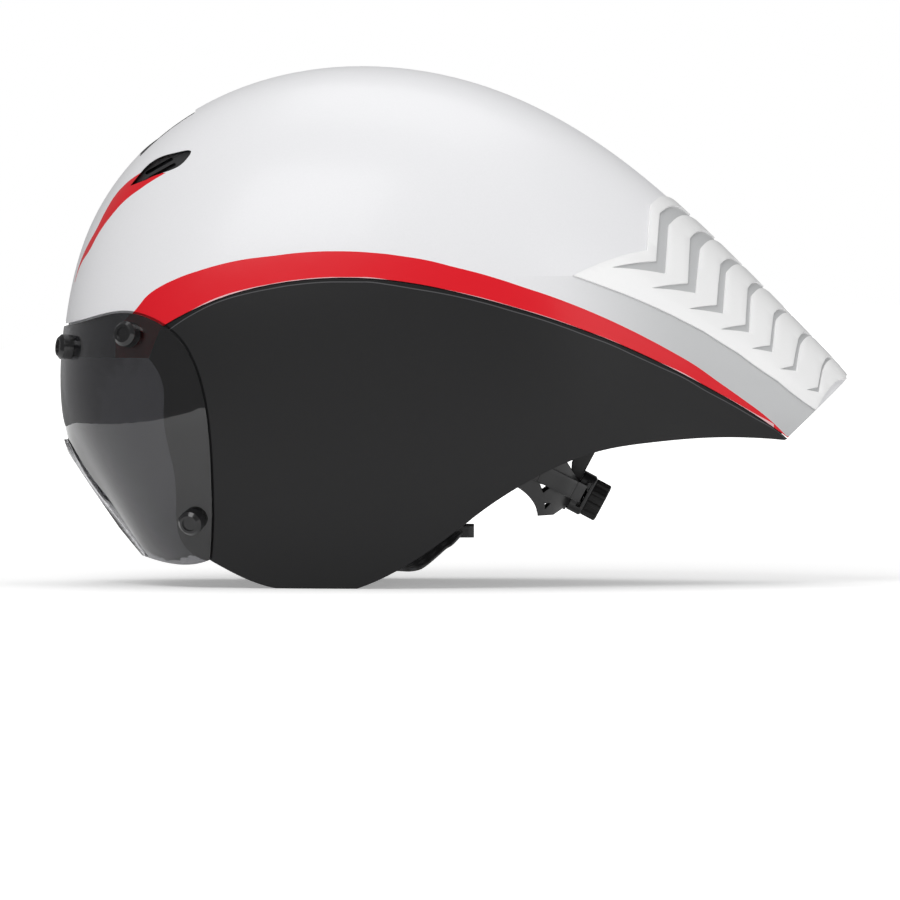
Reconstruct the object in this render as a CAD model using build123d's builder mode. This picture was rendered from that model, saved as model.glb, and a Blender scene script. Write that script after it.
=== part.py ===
from build123d import *
from math import atan2, copysign, cos, degrees, hypot, pi, radians, sin, sqrt
import os

os.makedirs("parts", exist_ok=True)

# Aero time trial helmet, in millimetres. The face looks along -X, the tail along +X, +Z is up.
# The origin is under the middle of the helmet, on the surface that it stands on.

# Whole helmet
helmet_length = 379.2
helmet_width = 205.0
helmet_height = 248.2
overrun = 30.0

# Shell, side covers and underpan
shell_wall = 1.6
seam_gap = 0.5
liner_gap = 0.3
underpan_wall = 2.0
underpan_inset = 3.0
underpan_gap = 0.4

# Visor
visor_wall = 2.0
visor_proud = 0.7
visor_under_gap = 0.3
visor_edge_gap = 1.0
notch_width = 64.0
notch_foot = 12.0
notch_height = 66.0
trim_width = 3.4
trim_lip = 1.0

# Visor studs and the magnets on both sides
stud_diameter = 12.0
stud_height = 6.84
stud_chamfer = 1.6
stud_dish_diameter = 6.5
stud_dish_depth = 0.8
stud_seat = 0.6
magnet_diameter = 7.0
magnet_thickness = 2.5
magnet_gap = 0.1
receiver_gap = 0.15
brow_stud_spacing = 76.0
brow_stud_height = 114.0

# Head cavity of the foam liner
cavity_length = 224.0
cavity_width = 160.0
cavity_top = 210.0
cavity_widest_height = 92.0
cavity_middle = -50.0
channel_width = 22.0
channel_depth = 12.0

# Pads
pad_thickness = 6.0
pad_gap = 0.3
brow_pad_height = 24.0
brow_pad_foot = 113.0
brow_pad_reach = 34.0
crown_pad_width = 22.0
crown_pad_spacing = 46.0
crown_pad_length = 110.0
side_pad_height = 26.0
side_pad_foot = 140.0
side_pad_length = 84.0
side_pad_middle = -34.0
side_pad_round = 8.0
ear_pad_thickness = 7.0
ear_pad_middle = -62.0
ear_pad_foot = 5.0
ear_pad_height = 27.0
ear_pad_length = 66.0
ear_pad_round = 10.0

# Tail
grille_wall = 2.0
grille_inset = 7.0
grille_slot_width = 3.2
grille_slot_pitch = 6.4
grille_slot_count = 5
grille_slot_length = 22.0
duct_round = 8.0
# Port through the liner's rear wall, from the head cavity into the duct
liner_port_width = 56.0
liner_port_height = 44.0
liner_port_length = 36.0
liner_port_middle = 125.0
tail_duct_sections = [
    # place along the length, width, height, height of the middle
    (80.0, 92.0, 84.0, 132.0),
    (130.0, 58.0, 48.0, 108.0),
    (184.0, 30.0, 18.0, 84.0),
]

# Vents
leaf_flange = 2.0
leaf_clearance = 0.2
leaf_slit_width = 1.6
leaf_slit_pitch = 3.0
leaf_slit_count = 2
leaf_slit_length = 15.0
scoop_width = 32.0
scoop_wall = 1.6
scoop_clearance = 0.3
scoop_duct_length = 9.0
scoop_duct_width = 20.0

# Rear retention: dial, racks, cradle, hanger and belts
dial_tilt = 28.0
dial_diameter = 19.0
dial_depth = 7.5
dial_lobes = 9
dial_lobe_radius = 1.3
dial_bevel = 0.6
housing_width = 38.0
housing_height = 20.0
housing_round = 4.0
cradle_radius = 70.0
cradle_wall = 2.4
dial_lobe_depth = 1.3
dial_gap = 0.4
dial_dish_diameter = 11.0
dial_dish_depth = 1.0
housing_floor = 0.8
lid_thickness = 1.6
lid_chamfer = 0.6
cradle_rear = 61.5
cradle_rear_height = 44.2
cradle_pad_thickness = 4.0
cradle_pad_height = 12.0
cradle_pad_start = 13.0
cradle_pad_reach = 46.0
rack_thickness = 1.6
rack_height = 2.6
rack_length = 33.0
rack_inner_reach = 9.5
rack_tooth_count = 12
rack_gap = 0.25
tooth_pitch = 2.5
tooth_reach = 0.6
tooth_root_width = 1.0
tooth_tip_gap = 0.3
tooth_overlap = 0.12
pinion_tooth_slope = 75
rack_tooth_slope = 72
pinion_teeth = 8
spindle_diameter = 3.0
spindle_gap = 0.1
belt_height = 9.0
belt_thickness = 1.2
belt_groove = 2.0
belt_button_diameter = 8.0
belt_button_length = 5.0
button_gap = 0.3
belt_button_offset = 2.3
hanger_width = 16.0
hanger_thickness = 2.4
hanger_eye_diameter = 6.4
tongue_gap = 0.3
tongue_foot = 11.0
tongue_slot_width = 5.0
tongue_slot_length = 8.0
wedge_top = 21.0
wedge_reach = 5.0
guide_depth = 3.4
guide_wall = 2.4
guide_height = 8.0
hanger_pin_diameter = 3.0
hanger_pin_height = 68.0
hanger_pin_place = 66.0
pin_gap = 0.1
bracket_length = 24.0
bracket_wall = 2.6

# Straps and buckle
strap_width = 16.0
strap_thickness = 1.6
strap_clearance = 0.2
strap_anchor_diameter = 12.0
strap_anchor_thickness = 3.0
divider_length = 34.0
divider_height = 18.0
divider_thickness = 4.4
divider_round = 5.0
divider_place = (-33.0, 59.5, 21.0)
buckle_width = 27.0
buckle_length = 46.0
buckle_thickness = 5.5
buckle_middle = -2.9
buckle_height = 25.5
buckle_round = 3.0
buckle_split = 4.0
buckle_gap = 0.2
buckle_rail_reach = 12.0
buckle_rail_head = 6.0
buckle_rail_height = 2.8
buckle_neck_height = 1.4
buckle_stop_wall = 2.5
front_strap_route = [(-84.0, 74.7, 56.0), (-74.0, 72.0, 38.0), (-52.0, 60.0, 26.0), (-44.0, 59.5, 21.5)]
rear_strap_route = [(2.0, 69.4, 60.0), (8.0, 66.6, 43.0), (-14.0, 60.0, 26.0), (-22.0, 59.5, 21.5)]
chin_strap_route = [
    (-33.0, 59.5, 18.0), (-33.0, 59.5, 12.5), (-31.0, 55.0, 8.5), (-22.0, 42.0, 10.5), (-9.0, 28.5, 21.0),
    (buckle_middle, 23.5, 25.0), (buckle_middle, 17.0, buckle_height),
]

# Outlines as shares: x from the visor's front over the length, z from the ground over the height
form_ring_shares = [
    # top point, bottom point, half width, place of the widest point up the ring
    ((0.0227, 0.2498), (0.1150, 0.0483), 0.254, 0.50),
    ((0.0069, 0.3626), (0.1361, 0.0081), 0.449, 0.52),
    ((0.0108, 0.5016), (0.2152, -0.0725), 0.712, 0.50),
    ((0.0411, 0.6869), (0.3312, -0.1289), 0.863, 0.48),
    ((0.1229, 0.8582), (0.4420, -0.1450), 0.956, 0.46),
    ((0.2574, 0.9718), (0.5527, -0.1048), 1.000, 0.46),
    ((0.4077, 1.0000), (0.6477, -0.0161), 0.985, 0.46),
    ((0.5607, 0.9517), (0.7268, 0.0886), 0.888, 0.46),
    ((0.7136, 0.8211), (0.7901, 0.1773), 0.702, 0.44),
    ((0.8639, 0.6156), (0.8586, 0.2256), 0.493, 0.42),
    ((0.9557, 0.4726), (0.9325, 0.2337), 0.332, 0.42),
    ((1.0274, 0.3344), (1.0116, 0.2095), 0.205, 0.45),
]
crown_roundness = 2.25
belly_roundness = 2.6
points_per_ring = 16
seam_front_shares = [(0.1215, 0.4410), (0.1367, 0.5010)]
seam_shares = [
    (0.1367, 0.5010), (0.1810, 0.5377), (0.2266, 0.5648), (0.2873, 0.5861), (0.3633, 0.5957),
    (0.4392, 0.5880), (0.5304, 0.5590), (0.6215, 0.5184), (0.7127, 0.4662), (0.8038, 0.3985),
    (0.8646, 0.3462), (0.9228, 0.2853),
]
rim_shares = [
    (0.1215, 0.4410), (0.1304, 0.4217), (0.1392, 0.3888), (0.1399, 0.3288), (0.1456, 0.2727),
    (0.1532, 0.2224), (0.1557, 0.1509), (0.1608, 0.0967), (0.1759, 0.0677), (0.1962, 0.0542),
]
foot_front_shares = [(0.1962, 0.0542), (0.2215, 0.0329), (0.2595, 0.0077), (0.2797, 0.0)]
foot_rear_shares = [
    (0.3809, 0.0), (0.4291, 0.0330), (0.4911, 0.0954), (0.5418, 0.1547), (0.6076, 0.2166),
    (0.6886, 0.2650), (0.7481, 0.2785), (0.8190, 0.2863), (0.9190, 0.2805),
]
tail_cut_shares = [(0.9228, 0.2853), (1.0000, 0.3980)]
visor_top_shares = [
    (-0.0300, 0.4827), (0.0063, 0.4971), (0.0405, 0.5112), (0.0911, 0.5273), (0.1248, 0.5145),
    (0.1582, 0.4778), (0.1800, 0.4178), (0.1903, 0.3578), (0.1987, 0.2166), (0.1994, 0.1257),
    (0.1961, 0.0542),
]
visor_foot_shares = [(0.1961, 0.0542), (0.1800, 0.0464), (0.1250, 0.0520), (-0.0300, 0.0520)]
leaf_shares = [
    (0.0949, 0.7698), (0.1051, 0.7892), (0.1177, 0.8104), (0.1342, 0.8259), (0.1532, 0.8337),
    (0.1722, 0.8356), (0.1671, 0.8221), (0.1557, 0.8066), (0.1367, 0.7950), (0.1152, 0.7814),
]
scoop_floor_shares = [
    (0.1013, 0.8248), (0.1241, 0.8559), (0.1481, 0.8791), (0.1671, 0.8956), (0.1810, 0.9043),
]
scoop_front_share = 0.1063
scoop_rear_share = 0.1759
temple_stud_shares = (0.0962, 0.4855)
cheek_stud_shares = (0.1765, 0.1310)
liner_foot_shares = [
    (0.4500, 0.1450), (0.5150, 0.2050), (0.5700, 0.2800),
    (0.6400, 0.3060), (0.7240, 0.3060),
]
liner_rim_shares = [
    (0.1300, 0.4531), (0.1480, 0.3900), (0.1500, 0.3300), (0.1560, 0.2700), (0.1630, 0.2150),
    (0.1660, 0.1450),
]
belt_shares = [
    # reach from the cradle's middle over its radius, half width across over half the helmet's width
    (1.0186, 0.2400), (0.9430, 0.3122), (0.8330, 0.4078), (0.5490, 0.5790), (0.0286, 0.6585),
    (-0.7857, 0.7560), (-1.5140, 0.6585),
]
cradle_window_shares = [
    [(0.6076, 0.2050), (0.6253, 0.1915), (0.6146, 0.1799), (0.6076, 0.2050)],
    [(0.6168, 0.1596), (0.6247, 0.1596), (0.6168, 0.1474), (0.6168, 0.1596)],
]
cradle_shares = [
    (0.5823, 0.1915), (0.5949, 0.1760), (0.6051, 0.1528), (0.6076, 0.1354), (0.6278, 0.1362),
    (0.6462, 0.1547), (0.6646, 0.1489), (0.6772, 0.1702), (0.6620, 0.1954), (0.6443, 0.2379),
    (0.6177, 0.2379), (0.5962, 0.2147),
]


def place(x_share, z_share):
    """A point of the side view, from its shares of the length and the height."""
    return (x_share - 0.5) * helmet_length, z_share * helmet_height


def outline(shares, back=0.0, up=0.0):
    """Points of the side view from their shares, all shifted by the same step."""
    return [(place(*share)[0] + back, place(*share)[1] + up) for share in shares]


def widened(run, amount, loop=False):
    """A run of points moved sideways, to the left of the way it goes, by the same amount all along."""
    moved = []
    last = len(run) - 1
    for index, (x, z) in enumerate(run):
        before = run[index - 1 if loop else max(index - 1, 0)]
        after = run[(index + 1) % len(run) if loop else min(index + 1, last)]
        span = hypot(after[0] - before[0], after[1] - before[1])
        step = amount / span
        moved.append((x - (after[1] - before[1]) * step, z + (after[0] - before[0]) * step))
    return moved


def side_block(*runs, reach=helmet_width):
    """A block across the width; each run of its side outline is smooth, and lines join the runs."""
    with BuildPart() as block:
        with BuildSketch(Plane.XZ):
            with BuildLine():
                for index, run in enumerate(runs):
                    following = runs[(index + 1) % len(runs)][0]
                    if len(run) > 2:
                        Spline(*run)
                    else:
                        Line(*run)
                    if run[-1] != following:
                        Line(run[-1], following)
            make_face()
        extrude(amount=reach, both=True)
    return block.part


def ring_points(height, half_width, widest_share):
    """Points of one flattened ring, from its lowest point round and back, in its own plane."""
    points = []
    for step in range(points_per_ring):
        angle = 2 * pi * step / points_per_ring - pi / 2
        upper = sin(angle) > 0
        power = 2 / (crown_roundness if upper else belly_roundness)
        reach = height * (1 - widest_share if upper else widest_share)
        across = half_width * copysign(abs(cos(angle)) ** power, cos(angle))
        along = height * widest_share + reach * copysign(abs(sin(angle)) ** power, sin(angle))
        points.append((across, along))
    return points


def ring_frame(index):
    """Top, bottom and widest point of one ring of the outer form."""
    top_share, bottom_share, width_share, widest_share = form_ring_shares[index]
    top = Vector(place(*top_share)[0], 0, place(*top_share)[1])
    bottom = Vector(place(*bottom_share)[0], 0, place(*bottom_share)[1])
    side = bottom + (top - bottom) * widest_share + Vector(0, width_share * helmet_width / 2, 0)
    return top, bottom, side


def lean(index, corner, direction):
    """How much longer a step in the ring's plane is than the wall that it crosses."""
    last = len(form_ring_shares) - 1
    before = ring_frame(max(index - 1, 0))[corner]
    after = ring_frame(min(index + 1, last))[corner]
    along = (after - before).normalized().dot(direction.normalized())
    return 1 / sqrt(1 - along * along)


def form_layer(depth):
    """The closed form of the helmet with its visor on, its skin moved inwards by depth."""
    last = len(form_ring_shares) - 1
    with BuildPart() as form:
        for index, (_, _, _, widest_share) in enumerate(form_ring_shares):
            top, bottom, side = ring_frame(index)
            up = (top - bottom).normalized()
            forwards = Vector(0, 1, 0).cross(up)
            end_shift = forwards * depth * ((index == last) - (index == 0))
            low = bottom + up * depth * lean(index, 1, up) - end_shift
            high = top - up * depth * lean(index, 0, up) - end_shift
            half_width = side.Y - depth * lean(index, 2, Vector(0, 1, 0))
            with BuildSketch(Plane(low, x_dir=(0, 1, 0), z_dir=forwards)):
                with BuildLine():
                    Spline(*ring_points((high - low).length, half_width, widest_share), periodic=True)
                make_face()
        loft()
    return form.part


# Depths of the layers below the outer form
lens_depth = visor_wall - visor_proud
rebate_depth = lens_depth + visor_under_gap
rebate_inner_depth = rebate_depth + shell_wall
liner_depth = shell_wall + liner_gap
liner_rebate_depth = rebate_inner_depth + liner_gap

outer_form = form_layer(0.0)
visor_skin = form_layer(-visor_proud)
visor_inner_skin = form_layer(lens_depth)
rebate_skin = form_layer(rebate_depth)
shell_inner_skin = form_layer(shell_wall)
liner_skin = form_layer(liner_depth)
rebate_inner_skin = form_layer(rebate_inner_depth)
liner_rebate_skin = form_layer(liner_rebate_depth)
trim_skin = form_layer(-visor_proud - trim_lip)

# Side view regions
sky = 1.10
front_end = -0.03
rear_end_shares = (1.08, 0.5148)
seam_low = outline(seam_shares, up=-seam_gap)
seam_front_low = outline(seam_front_shares, up=-seam_gap)
brow_line = outline([(front_end, seam_front_shares[0][1]), seam_front_shares[0]])
top_line = outline([(rear_end_shares[0], sky), (front_end, sky)])
tail_line = outline([tail_cut_shares[0], rear_end_shares])
foot_front = outline(foot_front_shares)
foot_rear = outline(foot_rear_shares)
rim = outline(rim_shares[:1], up=-seam_gap) + outline(rim_shares[1:])
visor_top = outline(visor_top_shares)
visor_foot = outline(visor_foot_shares)
leaf = outline(leaf_shares)
shell_region = side_block(
    brow_line, outline(seam_front_shares), outline(seam_shares), tail_line, top_line
)
cover_region = side_block(seam_front_low, seam_low, foot_rear[::-1], foot_front[::-1], rim[::-1])
visor_region = side_block(visor_top, visor_foot)
rebate_region, rebate_wide_region, liner_rebate_region = [
    side_block(widened(visor_top, margin), widened(visor_foot, margin))
    for margin in (visor_edge_gap, visor_edge_gap + shell_wall, visor_edge_gap + shell_wall + liner_gap)
]


def stepped_wall(region):
    """The helmet's wall inside a region, stepped in where the visor lies over it."""
    with BuildPart() as main_wall:
        add(outer_form)
        add(region, mode=Mode.INTERSECT)
        add(rebate_region, mode=Mode.SUBTRACT)
        add(shell_inner_skin, mode=Mode.SUBTRACT)
    with BuildPart() as stepped_part:
        add(rebate_skin)
        add(rebate_wide_region, mode=Mode.INTERSECT)
        add(region, mode=Mode.INTERSECT)
        add(rebate_inner_skin, mode=Mode.SUBTRACT)
    with BuildPart() as wall:
        add(main_wall.part)
        add(stepped_part.part)
    return wall.part


# Upper shell, with a leaf-shaped vent each side and the slot of the centre scoop
leaf_hole = side_block(leaf)
scoop_front = place(scoop_front_share, 0.0)[0]
scoop_rear = place(scoop_rear_share, 0.0)[0]
scoop_top = place(0.0, sky)[1]
scoop_bottom = place(0.0, scoop_floor_shares[0][1])[1] - overrun
scoop_hole = side_block(
    [(scoop_front, scoop_bottom), (scoop_rear, scoop_bottom)],
    [(scoop_rear, scoop_top), (scoop_front, scoop_top)],
    reach=scoop_width / 2,
)
with BuildPart() as upper_shell:
    add(stepped_wall(shell_region))
    add(leaf_hole, mode=Mode.SUBTRACT)
    add(scoop_hole, mode=Mode.SUBTRACT)
upper_shell.part.label = "upper_shell"
export_step(upper_shell.part, "parts/upper_shell.step")

# Side covers
cover_walls = stepped_wall(cover_region).solids().sort_by(Axis.Y)
with BuildPart() as left_side_cover:
    add(cover_walls[0])
left_side_cover.part.label = "left_side_cover"
export_step(left_side_cover.part, "parts/left_side_cover.step")
with BuildPart() as right_side_cover:
    add(cover_walls[-1])
right_side_cover.part.label = "right_side_cover"
export_step(right_side_cover.part, "parts/right_side_cover.step")

# Underpan that closes the tail between the covers
underpan_low = outline(foot_rear_shares[-4:], up=underpan_inset)
underpan_high = outline(foot_rear_shares[-4:], up=underpan_inset + underpan_wall)
with BuildPart() as tail_underpan:
    add(liner_skin)
    add(side_block(underpan_low, underpan_high[::-1]), mode=Mode.INTERSECT)
tail_underpan.part.label = "tail_underpan"
export_step(tail_underpan.part, "parts/tail_underpan.step")

# Visor lens with its nose notch
notch_plane = Plane.YZ
with BuildPart() as notch:
    with BuildSketch(notch_plane):
        with Locations((0, notch_foot)):
            Ellipse(notch_width / 2, notch_height - notch_foot)
        with Locations((0, notch_foot)):
            Rectangle(notch_width, helmet_height, align=(Align.CENTER, Align.MAX))
    extrude(amount=-helmet_length)
with BuildPart() as trim_band:
    with BuildSketch(notch_plane):
        with Locations((0, notch_foot)):
            Ellipse(notch_width / 2 + trim_width, notch_height - notch_foot + trim_width)
            Rectangle(notch_width + 2 * trim_width, helmet_height, align=(Align.CENTER, Align.MAX))
            Ellipse(notch_width / 2 - trim_lip, notch_height - notch_foot - trim_lip, mode=Mode.SUBTRACT)
            Rectangle(
                notch_width - 2 * trim_lip, helmet_height, align=(Align.CENTER, Align.MAX),
                mode=Mode.SUBTRACT,
            )
    extrude(amount=-helmet_length)


def skin_plane(form, start, direction):
    """The plane that lies on a form where a line first meets it."""
    hits = form.shells()[0].find_intersection_points(Axis(start, direction))
    point, normal = min(hits, key=lambda hit: (hit[0] - Vector(*start)).length)
    outwards = normal if normal.dot(Vector(*direction)) < 0 else -normal
    return Plane(point, z_dir=outwards)


temple_place = place(*temple_stud_shares)
cheek_place = place(*cheek_stud_shares)
stud_lines = [
    ((temple_place[0], helmet_width, temple_place[1]), (0, -1, 0)),
    ((cheek_place[0], helmet_width, cheek_place[1]), (0, -1, 0)),
    ((-helmet_length, brow_stud_spacing / 2, brow_stud_height), (1, 0, 0)),
]
stud_planes = [skin_plane(visor_skin, *line) for line in stud_lines]

# Visor studs, hollow for their magnets
with BuildPart() as visor_studs:
    for stud_plane in stud_planes:
        with BuildSketch(stud_plane.offset(-stud_seat)):
            Circle(stud_diameter / 2)
        extrude(amount=stud_height)
    chamfer(edges().filter_by(GeomType.CIRCLE).group_by(lambda edge: round(edge.length))[-1]
            .sort_by(lambda edge: -min((edge.center() - plane.origin).length for plane in stud_planes))[:3],
            stud_chamfer)
    for stud_plane in stud_planes:
        with BuildSketch(stud_plane.offset(stud_height - stud_seat)):
            Circle(stud_dish_diameter / 2)
        extrude(amount=-stud_dish_depth, mode=Mode.SUBTRACT)
        with BuildSketch(stud_plane.offset(-stud_seat)):
            Circle(magnet_diameter / 2 + magnet_gap)
        extrude(amount=magnet_thickness + magnet_gap, mode=Mode.SUBTRACT)
    mirror(about=Plane.XZ)
visor_studs.part.label = "visor_studs"
export_step(visor_studs.part, "parts/visor_studs.step")
with BuildPart() as visor_magnets:
    for stud_plane in stud_planes:
        with BuildSketch(stud_plane.offset(-stud_seat + magnet_gap)):
            Circle(magnet_diameter / 2)
        extrude(amount=magnet_thickness)
    mirror(about=Plane.XZ)
visor_magnets.part.label = "visor_magnets"
export_step(visor_magnets.part, "parts/visor_magnets.step")

with BuildPart() as stud_seats:
    for stud_plane in stud_planes:
        with BuildSketch(stud_plane.offset(-stud_seat)):
            Circle(stud_diameter / 2)
        extrude(amount=stud_height)
    mirror(about=Plane.XZ)

with BuildPart() as visor_lens:
    add(visor_skin)
    add(visor_region, mode=Mode.INTERSECT)
    add(visor_inner_skin, mode=Mode.SUBTRACT)
    add(notch.part, mode=Mode.SUBTRACT)
    add(stud_seats.part, mode=Mode.SUBTRACT)
visor_lens.part.label = "visor_lens"
export_step(visor_lens.part, "parts/visor_lens.step")

# Rubber trim pushed over the edge of the nose notch
with BuildPart() as nose_trim:
    add(trim_skin)
    add(trim_band.part, mode=Mode.INTERSECT)
    add(visor_region, mode=Mode.INTERSECT)
    add(liner_skin, mode=Mode.SUBTRACT)
    add(visor_lens.part, mode=Mode.SUBTRACT)
nose_trim.part.label = "nose_trim"
export_step(nose_trim.part, "parts/nose_trim.step")

# Magnets behind the shell that hold the visor's studs
receiver_planes = [
    skin_plane(rebate_inner_skin, tuple(plane.origin + plane.z_dir * overrun), tuple(-plane.z_dir))
    for plane in stud_planes
]
with BuildPart() as receiver_magnets:
    for receiver_plane in receiver_planes:
        with BuildSketch(receiver_plane.offset(-receiver_gap)):
            Circle(magnet_diameter / 2)
        extrude(amount=-magnet_thickness)
    mirror(about=Plane.XZ)
receiver_magnets.part.label = "receiver_magnets"
export_step(receiver_magnets.part, "parts/receiver_magnets.step")

with BuildPart() as magnet_pockets:
    for receiver_plane in receiver_planes:
        with BuildSketch(receiver_plane):
            Circle(magnet_diameter / 2 + receiver_gap)
        extrude(amount=-magnet_thickness - 2 * receiver_gap)
    mirror(about=Plane.XZ)

# Anchors of the straps and belts, set into the liner
def wall_facing(point):
    """The way the wall of the head cavity faces outwards beside a point."""
    forwards = (point[0] - cavity_middle) / cavity_length ** 2
    return Vector(forwards, point[1] / cavity_width ** 2, 0).normalized()


strap_anchor_planes = []
for anchor_place in (front_strap_route[0], rear_strap_route[0]):
    facing = wall_facing(anchor_place)
    anchor_seat = Vector(*anchor_place) + facing * (strap_thickness / 2 + strap_clearance)
    strap_anchor_planes.append(Plane(anchor_seat, x_dir=(0, 0, 1), z_dir=facing))
with BuildPart() as strap_anchors:
    for anchor_plane in strap_anchor_planes:
        with BuildSketch(anchor_plane):
            Circle(strap_anchor_diameter / 2)
        extrude(amount=strap_anchor_thickness)
    mirror(about=Plane.XZ)
strap_anchors.part.label = "strap_anchors"
export_step(strap_anchors.part, "parts/strap_anchors.step")

# Foam liner: outer shape under the shells, head cavity, air channel and pockets


def head_block(inset):
    """The head cavity as a solid: a dome over an oval column, all its walls moved inwards by inset."""
    half_length = cavity_length / 2 - inset
    half_width = cavity_width / 2 - inset
    dome_top = cavity_top - inset
    with BuildPart() as column:
        with BuildSketch(Plane.XZ):
            with BuildLine():
                Line((0, -overrun), (half_length, -overrun))
                Line((half_length, -overrun), (half_length, cavity_widest_height))
                EllipticalCenterArc(
                    (0, cavity_widest_height), half_length, dome_top - cavity_widest_height, arc_size=90
                )
                Line((0, dome_top), (0, -overrun))
            make_face()
        revolve(axis=Axis.Z)
        scale(by=(1, half_width / half_length, 1))
    with BuildPart() as block:
        with Locations((cavity_middle, 0, 0)):
            add(column.part)
    return block.part


liner_rim = outline(liner_rim_shares)
liner_foot = outline(liner_foot_shares)
liner_rear_place = place(liner_foot_shares[-1][0], 0.0)[0]
sky_height = place(0.0, sky)[1]
brow_start = (place(front_end, 0.0)[0], liner_rim[0][1])
liner_region = side_block(
    liner_rim, [liner_rim[-1], liner_foot[0]], liner_foot,
    [(liner_rear_place, sky_height), (brow_start[0], sky_height)], [brow_start, liner_rim[0]],
)
head_space = head_block(0.0)
with BuildPart() as channel:
    add(head_block(-channel_depth))
    with BuildSketch(Plane.XZ):
        Rectangle(2 * helmet_length, 2 * helmet_length)
    extrude(amount=channel_width / 2, both=True, mode=Mode.INTERSECT)

# Plane of the retention ring, tilted like the headband of the fit system
tilt = radians(dial_tilt)
outwards_rear = Vector(cos(tilt), 0, -sin(tilt))
up_rear = Vector(sin(tilt), 0, cos(tilt))
cradle_seat = Vector(cradle_rear, 0, cradle_rear_height)
cradle_plane = Plane(cradle_seat - outwards_rear * cradle_radius, x_dir=outwards_rear, z_dir=up_rear)
belt_line = [(cradle_radius * reach, helmet_width / 2 * across) for reach, across in belt_shares]
with BuildPart() as belt_groove_space:
    with BuildSketch(cradle_plane):
        with BuildLine():
            Spline(*belt_line)
        trace(line_width=belt_thickness + 2 * belt_groove)
    extrude(amount=belt_height / 2 + belt_groove, both=True)
    mirror(about=Plane.XZ)

belt_end = Vector(*belt_line[-1])
belt_end_run = (belt_end - Vector(*belt_line[-2])).normalized()
belt_end_side = Vector(belt_end_run.Y, -belt_end_run.X)
button_foot = belt_end - belt_end_run * belt_button_diameter / 2 + belt_end_side * belt_button_offset
button_plane = Plane(
    cradle_plane.from_local_coords((button_foot.X, button_foot.Y, 0)),
    z_dir=outwards_rear * belt_end_side.X + Vector(0, 1, 0) * belt_end_side.Y,
)
with BuildPart() as belt_anchors:
    with BuildSketch(button_plane.offset(button_gap)):
        Circle(belt_button_diameter / 2)
    extrude(amount=belt_button_length)
    mirror(about=Plane.XZ)
belt_anchors.part.label = "belt_anchors"
export_step(belt_anchors.part, "parts/belt_anchors.step")
with BuildPart() as anchor_pockets:
    for anchor_plane in strap_anchor_planes:
        with BuildSketch(anchor_plane):
            Circle(strap_anchor_diameter / 2 + button_gap)
        extrude(amount=strap_anchor_thickness + button_gap)
    with BuildSketch(button_plane):
        Circle(belt_button_diameter / 2 + button_gap)
    extrude(amount=belt_button_length + 2 * button_gap)
    mirror(about=Plane.XZ)

duct_front = place(scoop_floor_shares[-1][0], 0.0)[0]
duct_rear = duct_front + scoop_duct_length
duct_bottom = place(0.0, scoop_floor_shares[0][1])[1]
scoop_floor = outline(scoop_floor_shares)
with BuildPart() as liner_relief:
    add(liner_rebate_region)
    add(side_block(widened(leaf, leaf_flange + liner_gap, loop=True)))
    add(liner_rebate_skin, mode=Mode.SUBTRACT)
with BuildPart() as scoop_pocket:
    add(side_block(
        widened(scoop_floor, -scoop_wall - scoop_clearance),
        [(duct_front, sky_height), (scoop_floor[0][0], sky_height)], reach=scoop_width / 2 + scoop_clearance,
    ))
    add(side_block(
        [(duct_front - scoop_wall, duct_bottom - overrun), (duct_rear, duct_bottom - overrun)],
        [(duct_rear, sky_height), (duct_front - scoop_wall, sky_height)], reach=scoop_duct_width / 2,
    ))
with BuildPart() as rear_port:
    with BuildSketch(Plane.YZ.offset(liner_rear_place - liner_port_length)):
        with Locations((0, liner_port_middle)):
            RectangleRounded(liner_port_width, liner_port_height, duct_round)
    extrude(amount=liner_port_length + overrun)
with BuildPart() as liner:
    add(liner_skin)
    add(liner_region, mode=Mode.INTERSECT)
    add(liner_relief.part, mode=Mode.SUBTRACT)
    add(head_space, mode=Mode.SUBTRACT)
    add(channel.part, mode=Mode.SUBTRACT)
    add(belt_groove_space.part, mode=Mode.SUBTRACT)
    add(scoop_pocket.part, mode=Mode.SUBTRACT)
    add(rear_port.part, mode=Mode.SUBTRACT)
    add(magnet_pockets.part, mode=Mode.SUBTRACT)
    add(anchor_pockets.part, mode=Mode.SUBTRACT)
liner.part.label = "liner"
export_step(liner.part, "parts/liner.step")

# Foam core of the tail, hollow as an exhaust duct
tail_front = liner_rear_place + liner_gap
cut_along = Vector(*place(*tail_cut_shares[1])) - Vector(*place(*tail_cut_shares[0]))
cut_inwards = Vector(-cut_along.Y, cut_along.X).normalized()


def cut_line(inset):
    """The tail's end line moved into the tail, long enough to cross it."""
    shift = cut_inwards * inset
    low, high = (Vector(*place(*share)) + shift for share in tail_cut_shares)
    stretch = (high - low).normalized() * overrun
    return [(low.X - stretch.X, low.Y - stretch.Y), (high.X + stretch.X, high.Y + stretch.Y)]


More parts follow.
